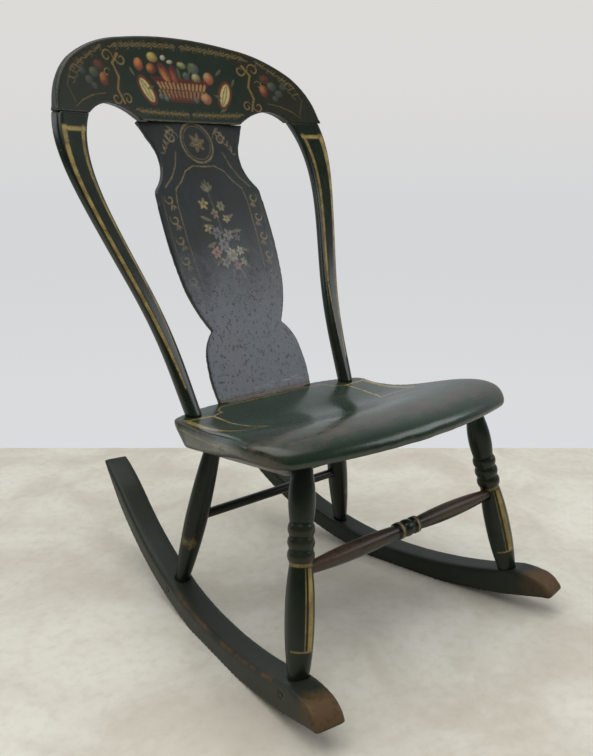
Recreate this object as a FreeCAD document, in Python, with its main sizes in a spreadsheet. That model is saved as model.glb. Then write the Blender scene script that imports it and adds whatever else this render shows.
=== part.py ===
import FreeCAD, Part
import math
import os
import Sketcher

# Painted plank-seat rocking chair with a balloon back.
# Millimetres. Z is up, X is the sitter's left, the chair faces -Y.
# The origin is on the floor, midway between the rockers, where they touch the floor.
# Left and right are the sitter's. Every pair is drawn on the left, where X is positive.

SIZES = [
    # overall sizes
    ("seat_height", 292, "flat back ledge of the seat above the floor"),
    ("crest_top", 821, "highest point of the crest rail"),
    # seat plank
    ("seat_back_reach", 163, "middle of the seat's back edge behind the origin"),
    ("seat_front_reach", 163.5, "middle of the seat's front edge ahead of the origin"),
    ("seat_front_bow", 786, "radius of the bowed front edge, in plan"),
    ("seat_back_width", 361, "width at the back corners"),
    ("seat_waist_width", 368, "width at the narrowest part of the sides' curve"),
    ("seat_front_width", 461, "greatest width, at the front ridge"),
    ("seat_lip_width", 410, "width of the front lip between the corners"),
    ("seat_underside_drop", 45, "underside below the ledge, at the rear legs"),
    ("seat_underside_slope", 5.1, "degrees, underside rises to the front"),
    ("seat_side_bevel", 28.4, "degrees, underside rises to the sides"),
    ("seat_bevel_start", 162, "half width of the flat underside, at the rear legs"),
    ("seat_back_bevel", 13, "how far the back and its corners slope in underneath"),
    ("seat_back_edge", 8, "upright part of the edge below the ledge"),
    ("seat_lip_depth", 40, "flat under the rolled front"),
    ("seat_front_bevel", 38, "from the lip back to the flat underside"),
    ("seat_lip_rise", 2, "lower arris of the rolled front, above the ledge"),
    ("seat_ridge_rise", 31.5, "top of the rolled front, above the ledge"),
    ("seat_roll_depth", 33, "from the front edge back to the ridge"),
    ("seat_slope_depth", 232, "from the front edge back to the foot of the slope"),
    ("seat_dish", 7, "depth of the hollow at the middle of the seat"),
    ("seat_dish_back", 300, "from the front edge back to the end of the hollow"),
    ("seat_back_corner", 13, "back corners cut in from the side"),
    ("seat_back_round", 5, "back edge's fall from its middle to the splat's ends"),
    # rockers
    ("rocker_spread", 188.5, "centre line of a rocker from the middle, at the origin"),
    ("rocker_toe", 8.53, "degrees, rockers come together towards the back"),
    ("rocker_width", 41, "across the rocker"),
    ("rocker_front_radius", 1000, "underside ahead of the joining point"),
    ("rocker_rear_radius", 520, "underside behind the joining point"),
    ("rocker_radius_change", 30, "where the two undersides join, behind the origin"),
    ("rocker_flat", 3, "depth of the flat worn into the underside"),
    ("rocker_depth", 29.6, "at its thinnest, before the flat is worn in"),
    ("rocker_brow", 60, "from the front tip back to the start of the round nose"),
    ("rocker_heel", 86, "from the rear tip forward to the start of the round heel"),
    ("rocker_tip", 5, "height of the front tip over the underside"),
    ("rocker_toe_round", 12, "from the front tip back to the end of its lower round"),
    ("rocker_heel_round", 4, "from the rear tip forward to the end of its lower round"),
    ("rocker_top_low", 32, "lowest point of the top side, behind the origin"),
    ("rocker_top_front_radius", 707, "top side, front"),
    ("rocker_top_rear_radius", 509, "top side, rear"),
    ("rocker_front_reach", 231, "front tip ahead of the origin"),
    ("rocker_rear_reach", 402, "rear end of the underside behind the origin"),
    # legs: where each axis meets the rocker's top and the seat's underside
    ("front_leg_foot_out", 205.5, "from the middle"),
    ("front_leg_foot_ahead", 153.5, "ahead of the origin"),
    ("front_leg_foot_rise", 0.4, "shoulder over the rocker's top side"),
    ("front_leg_head_out", 161, "from the middle"),
    ("front_leg_head_ahead", 110.6, "ahead of the origin"),
    ("front_leg_head_rise", 3, "above the seat's ledge"),
    ("rear_leg_foot_out", 162, "from the middle"),
    ("rear_leg_foot_behind", 152.8, "behind the origin"),
    ("rear_leg_foot_rise", -0.5, "shoulder over the rocker's top side"),
    ("rear_leg_head_out", 115, "from the middle"),
    ("rear_leg_head_behind", 125.5, "behind the origin"),
    ("rear_leg_head_drop", 35, "below the seat's ledge"),
    ("leg_head_socket", 20, "depth of a leg's end in the seat"),
    ("leg_foot_sink", 4, "depth of the shoulder's seat in the rocker"),
    ("leg_tenon", 16, "diameter of the tenon in the rocker"),
    ("leg_tenon_length", 18, "below the shoulder"),
    ("front_leg_foot", 25, "diameter at the shoulder"),
    ("front_leg_belly", 35.3, "widest part of the lower shaft"),
    ("front_leg_neck", 27, "above the lower shaft"),
    ("front_leg_ring", 32.7, "over the rings"),
    ("front_leg_groove", 28, "in the grooves"),
    ("front_leg_bulb", 31.8, "widest part below the seat"),
    ("front_leg_head", 24, "at the seat"),
    ("rear_leg_foot", 20, "diameter at the shoulder"),
    ("rear_leg_belly", 32.5, "widest part"),
    ("rear_leg_head", 22, "at the seat"),
    # stretchers
    ("front_stretcher_up", 121, "along the front leg, from its shoulder"),
    ("front_stretcher_end", 15, "diameter at the leg"),
    ("front_stretcher_swell", 22.5, "widest part"),
    ("front_stretcher_waist", 17, "beside the bead"),
    ("front_stretcher_bead", 23, "over the bead"),
    ("front_stretcher_bead_half", 10, "half the bead's length"),
    ("front_stretcher_ring", 5, "length of each small ring, two on each side of the bead"),
    ("front_stretcher_ring_rise", 3, "rings stand out over the waist"),
    ("rear_stretcher_up", 98, "along the rear leg, from its shoulder"),
    ("rear_stretcher_rod", 14, "diameter"),
    ("stretcher_socket", 12, "depth of a stretcher's end in a leg"),
    # posts, in seven stations from the seat to the seam under the crest
    ("seam_drop", 122.5, "seam between post and crest, below the top"),
    ("post_lean", 23.85, "degrees, posts lean back"),
    ("post_foot_behind", 132, "post at the seat, behind the origin"),
    ("post_foot_out", 147.3, "post at the seat, from the middle"),
    ("post_low_out", 155, "one sixth up"),
    ("post_waist_out", 168, "two sixths up"),
    ("post_middle_out", 188.5, "three sixths up"),
    ("post_upper_out", 209.5, "four sixths up"),
    ("post_shoulder_out", 223, "five sixths up"),
    ("post_seam_out", 212.5, "at the seam"),
    ("post_foot_width", 23, "round foot"),
    ("post_low_width", 24.5, "one sixth up"),
    ("post_waist_width", 26.5, "two sixths up"),
    ("post_middle_width", 29, "three sixths up"),
    ("post_upper_width", 32, "four sixths up"),
    ("post_shoulder_width", 40.5, "five sixths up"),
    ("post_seam_width", 56, "at the seam"),
    ("post_hollow", 1.5, "thinner halfway up, front to back"),
    ("post_tenon", 17, "diameter of the tenon in the seat"),
    ("post_tenon_length", 24, "below the shoulder"),
    ("post_tenon_root", 8, "how far the tenon's round bar runs up inside the post"),
    # crest rail
    ("crest_thickness", 20, "front to back, at the seam"),
    ("crest_top_thickness", 11, "front to back, at the top"),
    ("crest_bow", 807, "radius of the hollow front face, in plan"),
    ("crest_lean", 17.9, "degrees"),
    ("crest_bottom_drop", 6, "straight middle part of the lower edge, below the seam"),
    ("crest_bottom_half", 90, "half of that straight part"),
    ("crest_arch_rise", 16.3, "top of the arch beside the splat, above the seam"),
    ("crest_arch_out", 148, "top of the arch, from the middle"),
    ("crest_dowel", 10, "diameter of the pin in the seam"),
    ("crest_dowel_length", 50, "whole length"),
    # splat
    ("splat_set_in", 3.5, "front face behind the crest's front face, at its lower edge"),
    ("splat_face_behind", 149, "front face at the seat, behind the origin"),
    ("splat_thickness", 7, "board"),
    ("splat_foot", 176, "width at the seat"),
    ("splat_lobe", 182.6, "width of the lower lobe"),
    ("splat_notch", 133, "width at the notch"),
    ("splat_body", 199, "width of the upper body"),
    ("splat_neck", 150.8, "width at the neck"),
    ("splat_head", 197, "width under the crest"),
    ("splat_tenon_width", 150, "both tenons"),
    ("splat_tenon_top", 12, "height of the tenon in the crest"),
    ("splat_tenon_foot", 16, "height of the tenon in the seat"),
    # fastening
    ("pin_diameter", 5, "pins through the rockers"),
    ("pin_cover", 5, "rocker left whole beyond a pin's end"),
    ("glue_gap", 0.15, "clearance on every side of a tenon, pin or board in its socket"),
]


class Size:
    """A length or angle, with the sheet expression that gives it."""

    def __init__(self, value, text):
        self.value = value
        self.text = text

    @staticmethod
    def of(other):
        if isinstance(other, Size):
            return other
        return Size(float(other), repr(round(float(other), 6)))

    def join(self, sign, other, value):
        return Size(value, "(%s %s %s)" % (self.text, sign, other.text))

    def __add__(self, other):
        other = Size.of(other)
        return self.join("+", other, self.value + other.value)

    def __sub__(self, other):
        other = Size.of(other)
        return self.join("-", other, self.value - other.value)

    def __mul__(self, other):
        other = Size.of(other)
        return self.join("*", other, self.value * other.value)

    def __truediv__(self, other):
        other = Size.of(other)
        return self.join("/", other, self.value / other.value)

    def __radd__(self, other):
        return Size.of(other) + self

    def __rsub__(self, other):
        return Size.of(other) - self

    def __rmul__(self, other):
        return Size.of(other) * self

    def __neg__(self):
        return Size(-self.value, "(0 - %s)" % self.text)


def sine(angle):
    return Size(math.sin(math.radians(angle.value)), "sin(%s)" % angle.text)


def cosine(angle):
    return Size(math.cos(math.radians(angle.value)), "cos(%s)" % angle.text)


def root(size):
    return Size(math.sqrt(size.value), "sqrt(%s)" % size.text)


doc = FreeCAD.newDocument("rocking_chair")
sheet = doc.addObject("Spreadsheet::Sheet", "sizes")
size = {}
for row, (alias, number, note) in enumerate(SIZES, start=1):
    sheet.set("A%d" % row, alias)
    sheet.set("B%d" % row, str(number))
    sheet.set("C%d" % row, note)
    sheet.setAlias("B%d" % row, alias)
    size[alias] = Size(float(number), "sizes." + alias)
doc.recompute()


def rocker_over(y):
    """Height of the rocker's top side over the floor, y behind the origin."""
    reach = y - size["rocker_top_low"]
    radius = size["rocker_top_%s_radius" % ("front" if reach.value < 0 else "rear")]
    curve = radius - root(radius * radius - reach * reach)
    return size["rocker_depth"] + curve - size["rocker_flat"]


def tangent(angle):
    return sine(angle) / cosine(angle)


# Heights and depths that follow the seat, the crest, the posts and the rockers.
size["seat_lip_height"] = size["seat_height"] + size["seat_lip_rise"]
size["seat_ridge_height"] = size["seat_height"] + size["seat_ridge_rise"]
size["front_leg_head_height"] = size["seat_height"] + size["front_leg_head_rise"]
size["rear_leg_head_height"] = size["seat_height"] - size["rear_leg_head_drop"]
size["front_leg_foot_height"] = (rocker_over(-size["front_leg_foot_ahead"])
                                 + size["front_leg_foot_rise"])
size["rear_leg_foot_height"] = (rocker_over(size["rear_leg_foot_behind"])
                                + size["rear_leg_foot_rise"])
size["seam_height"] = size["crest_top"] - size["seam_drop"]
size["crest_bottom"] = size["seam_height"] - size["crest_bottom_drop"]
size["crest_arch_top"] = size["seam_height"] + size["crest_arch_rise"]
post_rise = size["seam_height"] - size["seat_height"]
post_seam_behind = size["post_foot_behind"] + post_rise * tangent(size["post_lean"])
bow_at_post = size["crest_bow"] - root(size["crest_bow"] * size["crest_bow"]
                                       - size["post_seam_out"] * size["post_seam_out"])
size["crest_face_behind"] = post_seam_behind + bow_at_post - size["crest_thickness"] / 2
splat_run = (size["crest_face_behind"] - size["crest_bottom_drop"] * tangent(size["crest_lean"])
             + size["splat_set_in"] - size["splat_face_behind"])
splat_rise = size["crest_bottom"] - size["seat_height"]
size["splat_lean"] = Size(math.degrees(math.atan2(splat_run.value, splat_rise.value)),
                          "atan(%s)" % (splat_run / splat_rise).text)

vector = FreeCAD.Vector
UP = vector(0, 0, 1)
gap = size["glue_gap"]


def flat(point):
    return vector(point[0].value, point[1].value, 0)


def sized(point):
    return (Size.of(point[0]), Size.of(point[1]))


def draw_outline(sketch, corners):
    """Closed outline. A corner is (x, y), or (way, corner) for an arc that passes through way."""
    steps = []
    for corner in corners:
        if isinstance(corner[0], tuple):
            steps.append((sized(corner[0]), sized(corner[1])))
        else:
            steps.append((None, sized(corner)))
    ends = []
    for index, (way, corner) in enumerate(steps):
        start = steps[index - 1][1]
        if way is None:
            edge = sketch.addGeometry(Part.LineSegment(flat(start), flat(corner)))
            ends.append((edge, 1, 2))
            continue
        edge = sketch.addGeometry(Part.Arc(flat(start), flat(way), flat(corner)))
        turn = (flat(way) - flat(start)).cross(flat(corner) - flat(way)).z
        ends.append((edge, 1, 2) if turn > 0 else (edge, 2, 1))
        mark = sketch.addGeometry(Part.Point(flat(way)), True)
        bind_point(sketch, mark, 1, way)
        sketch.addConstraint(Sketcher.Constraint("PointOnObject", mark, 1, edge))
    for index, (edge, first, last) in enumerate(ends):
        before, _, before_last = ends[index - 1]
        sketch.addConstraint(Sketcher.Constraint("Coincident", before, before_last, edge, first))
        bind_point(sketch, edge, last, steps[index][1])


def bind_point(sketch, edge, end, point):
    """Tie a point's two distances from the sketch's origin to the sheet."""
    for kind, amount in (("DistanceX", point[0]), ("DistanceY", point[1])):
        number = sketch.addConstraint(
            Sketcher.Constraint(kind, -1, 1, edge, end, amount.value))
        sketch.setExpression("Constraints[%d]" % number, amount.text)


def new_sketch(body, name, plane, height=None):
    """Sketch on one of the body's own planes, lifted along its normal by height."""
    support = [item for item in body.Origin.OriginFeatures if item.Role == plane][0]
    sketch = body.newObject("Sketcher::SketchObject", name)
    sketch.AttachmentSupport = (support, [""])
    sketch.MapMode = "FlatFace"
    if height is not None:
        sketch.AttachmentOffset = FreeCAD.Placement(vector(0, 0, height.value), FreeCAD.Rotation())
        sketch.setExpression("AttachmentOffset.Base.z", height.text)
    return sketch


def pad(body, name, sketch, length, side="Symmetric"):
    feature = body.newObject("PartDesign::Pad", name)
    feature.Profile = sketch
    feature.SideType = side
    feature.setExpression("Length", length.text)
    return feature


def turned(name, corners):
    """Piece turned on a lathe: corners are (radius, distance along the axis), along +Z."""
    body = doc.addObject("PartDesign::Body", name)
    sketch = new_sketch(body, name + "_profile", "XZ_Plane")
    draw_outline(sketch, corners)
    feature = body.newObject("PartDesign::Revolution", name + "_turning")
    feature.Profile = sketch
    feature.ReferenceAxis = (sketch, ["V_Axis"])
    feature.Angle = 360
    return body


def along(start, end):
    """Placement that puts a piece's own origin at start and its +Z towards end."""
    return FreeCAD.Placement(start, FreeCAD.Rotation(UP, end - start))


def rod(name, diameter, length, place):
    """Round bar along its own +Z: a dowel, a pin or the tool that cuts a socket."""
    item = doc.addObject("Part::Cylinder", name)
    item.setExpression("Radius", (diameter / 2).text)
    item.setExpression("Height", length.text)
    item.Placement = place
    return item


def cut(name, base, tools):
    tool = tools[0]
    if len(tools) > 1:
        tool = doc.addObject("Part::MultiFuse", name + "_sockets")
        tool.Shapes = tools
    result = doc.addObject("Part::Cut", name)
    result.Base = base
    result.Tool = tool
    return result


def mirrored(name, source):
    result = doc.addObject("Part::Mirroring", name)
    result.Source = source
    result.Normal = vector(1, 0, 0)
    result.Base = vector(0, 0, 0)
    return result


def shifted(placement, distance):
    """The same placement, moved along its own +Z."""
    return placement.multiply(FreeCAD.Placement(vector(0, 0, distance), FreeCAD.Rotation()))


def other_side(corners):
    """The same run of corners, mirrored across X, in the order that carries the outline on."""
    ways, ends = [], []
    for corner in corners:
        arc = isinstance(corner[0], tuple)
        way, end = corner if arc else (None, corner)
        ways.append((-way[0], way[1]) if arc else None)
        ends.append((-end[0], end[1]))
    run = [ends[-1]]
    for way, end in zip(reversed(ways[1:]), reversed(ends[:-1])):
        run.append(end if way is None else (way, end))
    return run


# Axes of the legs, posts and splat.
front_foot = vector(size["front_leg_foot_out"].value, -size["front_leg_foot_ahead"].value,
                    size["front_leg_foot_height"].value)
front_head = vector(size["front_leg_head_out"].value, -size["front_leg_head_ahead"].value,
                    size["front_leg_head_height"].value)
rear_foot = vector(size["rear_leg_foot_out"].value, size["rear_leg_foot_behind"].value,
                   size["rear_leg_foot_height"].value)
rear_head = vector(size["rear_leg_head_out"].value, size["rear_leg_head_behind"].value,
                   size["rear_leg_head_height"].value)
front_leg_place = along(front_foot, front_head)
rear_leg_place = along(rear_foot, rear_head)


def axis_length(leg):
    """Length of a leg's axis between the rocker and the seat, from its six places."""
    side = "behind" if leg == "rear_leg" else "ahead"
    out = size[leg + "_foot_out"] - size[leg + "_head_out"]
    back = size[leg + "_foot_" + side] - size[leg + "_head_" + side]
    rise = size[leg + "_head_height"] - size[leg + "_foot_height"]
    return root(out * out + back * back + rise * rise)


front_leg_length = axis_length("front_leg")
rear_leg_length = axis_length("rear_leg")


def rocker():
    """Curved runner, drawn from the side: two arcs below, two above, a round nose."""
    body = doc.addObject("PartDesign::Body", "rocker_left_blank")
    sketch = new_sketch(body, "rocker_side", "YZ_Plane")
    change, worn = size["rocker_radius_change"], size["rocker_flat"]
    front_radius, rear_radius = size["rocker_front_radius"], size["rocker_rear_radius"]

    def under(y):
        radius = front_radius if y.value < change.value else rear_radius
        reach = y - change
        return radius - root(radius * radius - reach * reach) - worn

    flat_front = change - root(worn * front_radius * 2 - worn * worn)
    flat_rear = change + root(worn * rear_radius * 2 - worn * worn)
    low = size["rocker_top_low"]
    tip, end = -size["rocker_front_reach"], size["rocker_rear_reach"]
    toe, brow = tip + size["rocker_toe_round"], tip + size["rocker_brow"]
    nose = under(toe) + size["rocker_tip"]
    # The crown is the nose's corner, just below and ahead of the brow's line.
    crown, crown_height = (tip + brow) / 2 - 3, rocker_over(brow) - 1
    back, heel = end - size["rocker_heel_round"], end - size["rocker_heel"]
    blunt = (end - 2.5, under(end) + 2)
    # How far each round swells out of the straight line between its ends.
    brow_swell, nose_swell, heel_swell = 1.2, 3.5, 2.4
    toe_way = (tip + 3.5, under(toe) + 1.4)
    draw_outline(sketch, [
        (toe_way, (toe, under(toe))),
        (((toe + flat_front) / 2, under((toe + flat_front) / 2)), (flat_front, Size.of(0))),
        (flat_rear, Size.of(0)),
        (((back + flat_rear) / 2, under((back + flat_rear) / 2)), (back, under(back))),
        ((end - 0.2, under(end) + 0.4), blunt),
        (((heel + blunt[0]) / 2 - 2, (rocker_over(heel) + blunt[1]) / 2 + heel_swell),
         (heel, rocker_over(heel))),
        (((heel + low) / 2, rocker_over((heel + low) / 2)), (low, size["rocker_depth"] - worn)),
        (((brow + low) / 2, rocker_over((brow + low) / 2)), (brow, rocker_over(brow))),
        (((crown + brow) / 2, crown_height + brow_swell), (crown, crown_height)),
        (((crown + tip) / 2 - 3, (crown_height + nose) / 2 + nose_swell), (tip, nose)),
    ])
    pad(body, "rocker_board", sketch, size["rocker_width"])
    body.Placement = FreeCAD.Placement(vector(size["rocker_spread"].value, 0, 0),
                                       FreeCAD.Rotation(UP, size["rocker_toe"].value))
    return body


rocker_blank = rocker()


def leg_seat(name, place, foot):
    """Tool for the tenon hole and the sunk seat of a leg's shoulder, in a rocker."""
    sink = size["leg_foot_sink"]
    hole = rod(name + "_hole", size["leg_tenon"] + gap * 2,
               size["leg_tenon_length"] + gap + sink, shifted(place, -(
                   size["leg_tenon_length"] + gap + sink).value))
    seat = rod(name + "_sink", size[foot] + gap * 2, sink * 6, shifted(place, -(sink + gap).value))
    tool = doc.addObject("Part::MultiFuse", name)
    tool.Shapes = [hole, seat]
    return tool


def leg(name, corners, place):
    body = turned(name, corners)
    body.Placement = place
    return body


def half(alias):
    return size[alias] / 2


sink = size["leg_foot_sink"]
tenon_end = -(sink + size["leg_tenon_length"])
# Where the turnings lie, as shares of the leg between its rocker and the seat's underside.
FRONT_TURNINGS = {"swell": 0.09, "belly": 0.29, "taper": 0.42, "rings_from": 0.53,
                  "rings_to": 0.713, "bulb": 0.783, "under_head": 0.92, "head": 0.97}
REAR_TURNINGS = {"swell": 0.22, "belly": 0.43, "taper": 0.68, "head": 0.95}
front_at = {name: front_leg_length * share for name, share in FRONT_TURNINGS.items()}
rear_at = {name: rear_leg_length * share for name, share in REAR_TURNINGS.items()}
# How much slimmer the shafts are than their belly, below it and above it.
front_below, front_above = 2.2, 1.2
rear_below, rear_above = 1.8, 1.3
ring_count = 3
ring_low = front_at["rings_from"]
ring_high = front_at["rings_to"]
ring_step = (ring_high - ring_low) / ring_count
groove = half("front_leg_groove")
front_corners = [
    (0, tenon_end),
    (half("leg_tenon"), tenon_end),
    (half("leg_tenon"), -sink),
    (half("front_leg_foot"), -sink),
    (half("front_leg_foot"), 0),
    ((half("front_leg_belly") - front_below, front_at["swell"]),
     (half("front_leg_belly"), front_at["belly"])),
    ((half("front_leg_belly") - front_above, front_at["taper"]),
     (half("front_leg_neck"), ring_low - 2)),
    (groove, ring_low),
]
for ring in range(ring_count):
    middle = ring_low + ring_step * (ring + 0.5)
    end = ring_low + ring_step * (ring + 1)
    front_corners.append(((half("front_leg_ring"), middle), (groove, end)))
front_corners += [
    ((half("front_leg_bulb"), front_at["bulb"]),
     (half("front_leg_head") + 1.5, front_at["under_head"])),
    (half("front_leg_head"), front_at["head"]),
    (half("front_leg_head"), front_leg_length + size["leg_head_socket"]),
    (0, front_leg_length + size["leg_head_socket"]),
]
rear_corners = [
    (0, tenon_end),
    (half("leg_tenon"), tenon_end),
    (half("leg_tenon"), -sink),
    (half("rear_leg_foot"), -sink),
    (half("rear_leg_foot"), 0),
    ((half("rear_leg_belly") - rear_below, rear_at["swell"]),
     (half("rear_leg_belly"), rear_at["belly"])),
    ((half("rear_leg_belly") - rear_above, rear_at["taper"]),
     (half("rear_leg_head"), rear_at["head"])),
    (half("rear_leg_head"), rear_leg_length + size["leg_head_socket"]),
    (0, rear_leg_length + size["leg_head_socket"]),
]


def stretcher_place(leg_place, up):
    """Where a stretcher's axis meets the left leg's axis."""
    return leg_place.multVec(vector(0, 0, up.value))


def half_stretcher(leg, up):
    """From the middle of the chair to the leg's axis, at the stretcher's height."""
    foot, head = size[leg + "_foot_out"], size[leg + "_head_out"]
    return foot - (foot - head) * up / axis_length(leg)


front_stretcher_half = (half_stretcher("front_leg", size["front_stretcher_up"])
                        - half("front_leg_belly") + size["stretcher_socket"])
rear_stretcher_half = (half_stretcher("rear_leg", size["rear_stretcher_up"])
                       - half("rear_leg_belly") + size["stretcher_socket"])


def lay_across(body, height, behind, half_length):
    """Lay a turned piece along X, its middle in the chair's middle plane."""
    body.Placement = FreeCAD.Placement(vector(-half_length.value, behind, height),
                                       FreeCAD.Rotation(vector(0, 1, 0), 90))


def turned_stretcher():
    """Two long swellings, and in the middle a bead between two small rings."""
    middle = front_stretcher_half
    end, swell = half("front_stretcher_end"), half("front_stretcher_swell")
    waist, bead = half("front_stretcher_waist"), half("front_stretcher_bead")
    ring, ring_over = size["front_stretcher_ring"], waist + size["front_stretcher_ring_rise"]
    bead_half = size["front_stretcher_bead_half"]
    rings_half = bead_half + ring * 2
    corners = [
        (0, 0),
        (end, 0),
        (end, size["stretcher_socket"]),
        ((swell, middle * 0.5), (waist, middle - rings_half)),
        ((ring_over, middle - rings_half + ring / 2), (waist, middle - bead_half - ring)),
        ((ring_over, middle - bead_half - ring / 2), (waist, middle - bead_half)),
        ((bead, middle), (waist, middle + bead_half)),
        ((ring_over, middle + bead_half + ring / 2), (waist, middle + bead_half + ring)),
        ((ring_over, middle + rings_half - ring / 2), (waist, middle + rings_half)),
        ((swell, middle * 1.5), (end, middle * 2 - size["stretcher_socket"])),
        (end, middle * 2),
        (0, middle * 2),
    ]
    body = turned("front_stretcher", corners)
    spot = stretcher_place(front_leg_place, size["front_stretcher_up"])
    lay_across(body, spot.z, spot.y, middle)
    return body


def plain_stretcher():
    spot = stretcher_place(rear_leg_place, size["rear_stretcher_up"])
    place = FreeCAD.Placement(vector(-rear_stretcher_half.value, spot.y, spot.z),
                              FreeCAD.Rotation(vector(0, 1, 0), 90))
    return rod("rear_stretcher", size["rear_stretcher_rod"], rear_stretcher_half * 2, place)


def stretcher_socket(name, leg_place, up, diameter, half_length):
    """Tool that cuts a stretcher's socket in the left leg."""
    spot = stretcher_place(leg_place, up)
    depth = size["stretcher_socket"] * 2
    start = vector((half_length + gap - depth).value, spot.y, spot.z)
    return rod(name, size[diameter] + gap * 2, depth,
               FreeCAD.Placement(start, FreeCAD.Rotation(vector(0, 1, 0), 90)))


front_leg = leg("front_leg_turning", front_corners, front_leg_place)
rear_leg = leg("rear_leg_turning", rear_corners, rear_leg_place)
front_stretcher = turned_stretcher()
rear_stretcher = plain_stretcher()
front_socket = stretcher_socket("front_leg_stretcher_socket", front_leg_place,
                                size["front_stretcher_up"], "front_stretcher_end",
                                front_stretcher_half)
rear_socket = stretcher_socket("rear_leg_stretcher_socket", rear_leg_place,
                               size["rear_stretcher_up"], "rear_stretcher_rod",
                               rear_stretcher_half)


def tenon_pin(name, leg_place, extra):
    """Pin driven in from the rocker's outer side through a leg's tenon, stopping inside."""
    depth = size["leg_foot_sink"] + size["leg_tenon_length"] * 0.55
    centre = leg_place.multVec(vector(0, 0, -depth.value))
    toe = math.radians(size["rocker_toe"].value)
    inward = vector(-math.cos(toe), -math.sin(toe), 0)
    offset = (centre - vector(size["rocker_spread"].value, 0, 0)).dot(inward)
    outer = centre - inward * (offset + size["rocker_width"].value / 2)
    length = size["rocker_width"] - size["pin_cover"] + extra
    diameter = size["pin_diameter"] + extra * 2
    return rod(name, diameter, length, FreeCAD.Placement(outer, FreeCAD.Rotation(UP, inward)))


pins, pin_holes = {}, {}
for leg_name, place in (("front", front_leg_place), ("rear", rear_leg_place)):
    pins[leg_name] = tenon_pin("rocker_pin_%s_left" % leg_name, place, Size.of(0))
    pin_holes[leg_name] = tenon_pin("pin_hole_%s" % leg_name, place, gap)

front_leg_left = cut("front_leg_left", front_leg, [front_socket, pin_holes["front"]])
rear_leg_left = cut("rear_leg_left", rear_leg, [rear_socket, pin_holes["rear"]])
front_seat = leg_seat("front_leg_seat", front_leg_place, "front_leg_foot")
rear_seat = leg_seat("rear_leg_seat", rear_leg_place, "rear_leg_foot")
rocker_left = cut("rocker_left", rocker_blank,
                  [front_seat, rear_seat, pin_holes["front"], pin_holes["rear"]])


def post():
    """Round at the seat, wide and flat at the crest, in seven sections."""
    body = doc.addObject("PartDesign::Body", "back_post_blank")
    stations = ["foot", "low", "waist", "middle", "upper", "shoulder", "seam"]
    rise = post_rise / (len(stations) - 1)
    lean = tangent(size["post_lean"])
    bow = math.degrees(math.asin(size["post_seam_out"].value / size["crest_bow"].value))
    sketches = []
    for step, station in enumerate(stations):
        share = step / (len(stations) - 1)
        out = size["post_%s_out" % station]
        behind = size["post_foot_behind"] + rise * step * lean
        wide = size["post_%s_width" % station]
        thick = (size["post_foot_width"] * (1 - share) + size["crest_thickness"] * share
                 - size["post_hollow"] * (4 * share * (1 - share)))
        # Nearly round at the seat, with small rounds at the crest.
        corner = thick * (0.46 - 0.2 * share)
        sketch = new_sketch(body, "post_at_" + station, "XY_Plane")
        sketch.AttachmentOffset = FreeCAD.Placement(
            vector(out.value, behind.value, (size["seat_height"] + rise * step).value),
            FreeCAD.Rotation(UP, -bow * share))
        sketch.setExpression("AttachmentOffset.Base.x", out.text)
        sketch.setExpression("AttachmentOffset.Base.y", behind.text)
        sketch.setExpression("AttachmentOffset.Base.z", (size["seat_height"] + rise * step).text)
        round_rectangle(sketch, wide / 2, thick / 2, corner)
        sketches.append(sketch)
    loft = body.newObject("PartDesign::AdditiveLoft", "post_loft")
    loft.Profile = sketches[0]
    loft.Sections = sketches[1:]
    loft.Ruled = False
    return body


def round_rectangle(sketch, across, deep, corner):
    """Rectangle with rounded corners about the sketch's origin, from its half sizes."""
    bulge = corner * (1 - math.sqrt(0.5))
    draw_outline(sketch, [
        (across - corner, -deep),
        ((across - bulge, bulge - deep), (across, corner - deep)),
        (across, deep - corner),
        ((across - bulge, deep - bulge), (across - corner, deep)),
        (corner - across, deep),
        ((bulge - across, deep - bulge), (-across, deep - corner)),
        (-across, corner - deep),
        ((bulge - across, bulge - deep), (corner - across, -deep)),
    ])


post_blank = post()
post_foot = vector(size["post_foot_out"].value, size["post_foot_behind"].value,
                   size["seat_height"].value)
post_lean = math.radians(size["post_lean"].value)
post_down = vector(0, -math.sin(post_lean), -math.cos(post_lean))
post_tenon_place = along(post_foot - post_down * size["post_tenon_root"].value, post_foot)
post_tenon_whole = size["post_tenon_length"] + size["post_tenon_root"]
post_tenon = rod("post_tenon_pin", size["post_tenon"], post_tenon_whole, post_tenon_place)
post_whole = doc.addObject("Part::MultiFuse", "back_post_whole")
post_whole.Shapes = [post_blank, post_tenon]

seam_middle = vector(size["post_seam_out"].value, post_seam_behind.value,
                     size["seam_height"].value)
dowel_lean = math.radians(size["crest_lean"].value)
dowel_up = vector(0, math.sin(dowel_lean), math.cos(dowel_lean))
dowel_place = along(seam_middle - dowel_up * (size["crest_dowel_length"].value / 2),
                    seam_middle + dowel_up)
crest_dowel_left = rod("crest_dowel_left", size["crest_dowel"], size["crest_dowel_length"],
                       dowel_place)
dowel_hole = rod("crest_dowel_hole", size["crest_dowel"] + gap * 2,
                 size["crest_dowel_length"] + gap * 2, shifted(dowel_place, -gap.value))
back_post_left = cut("back_post_left", post_whole, [dowel_hole])


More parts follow.
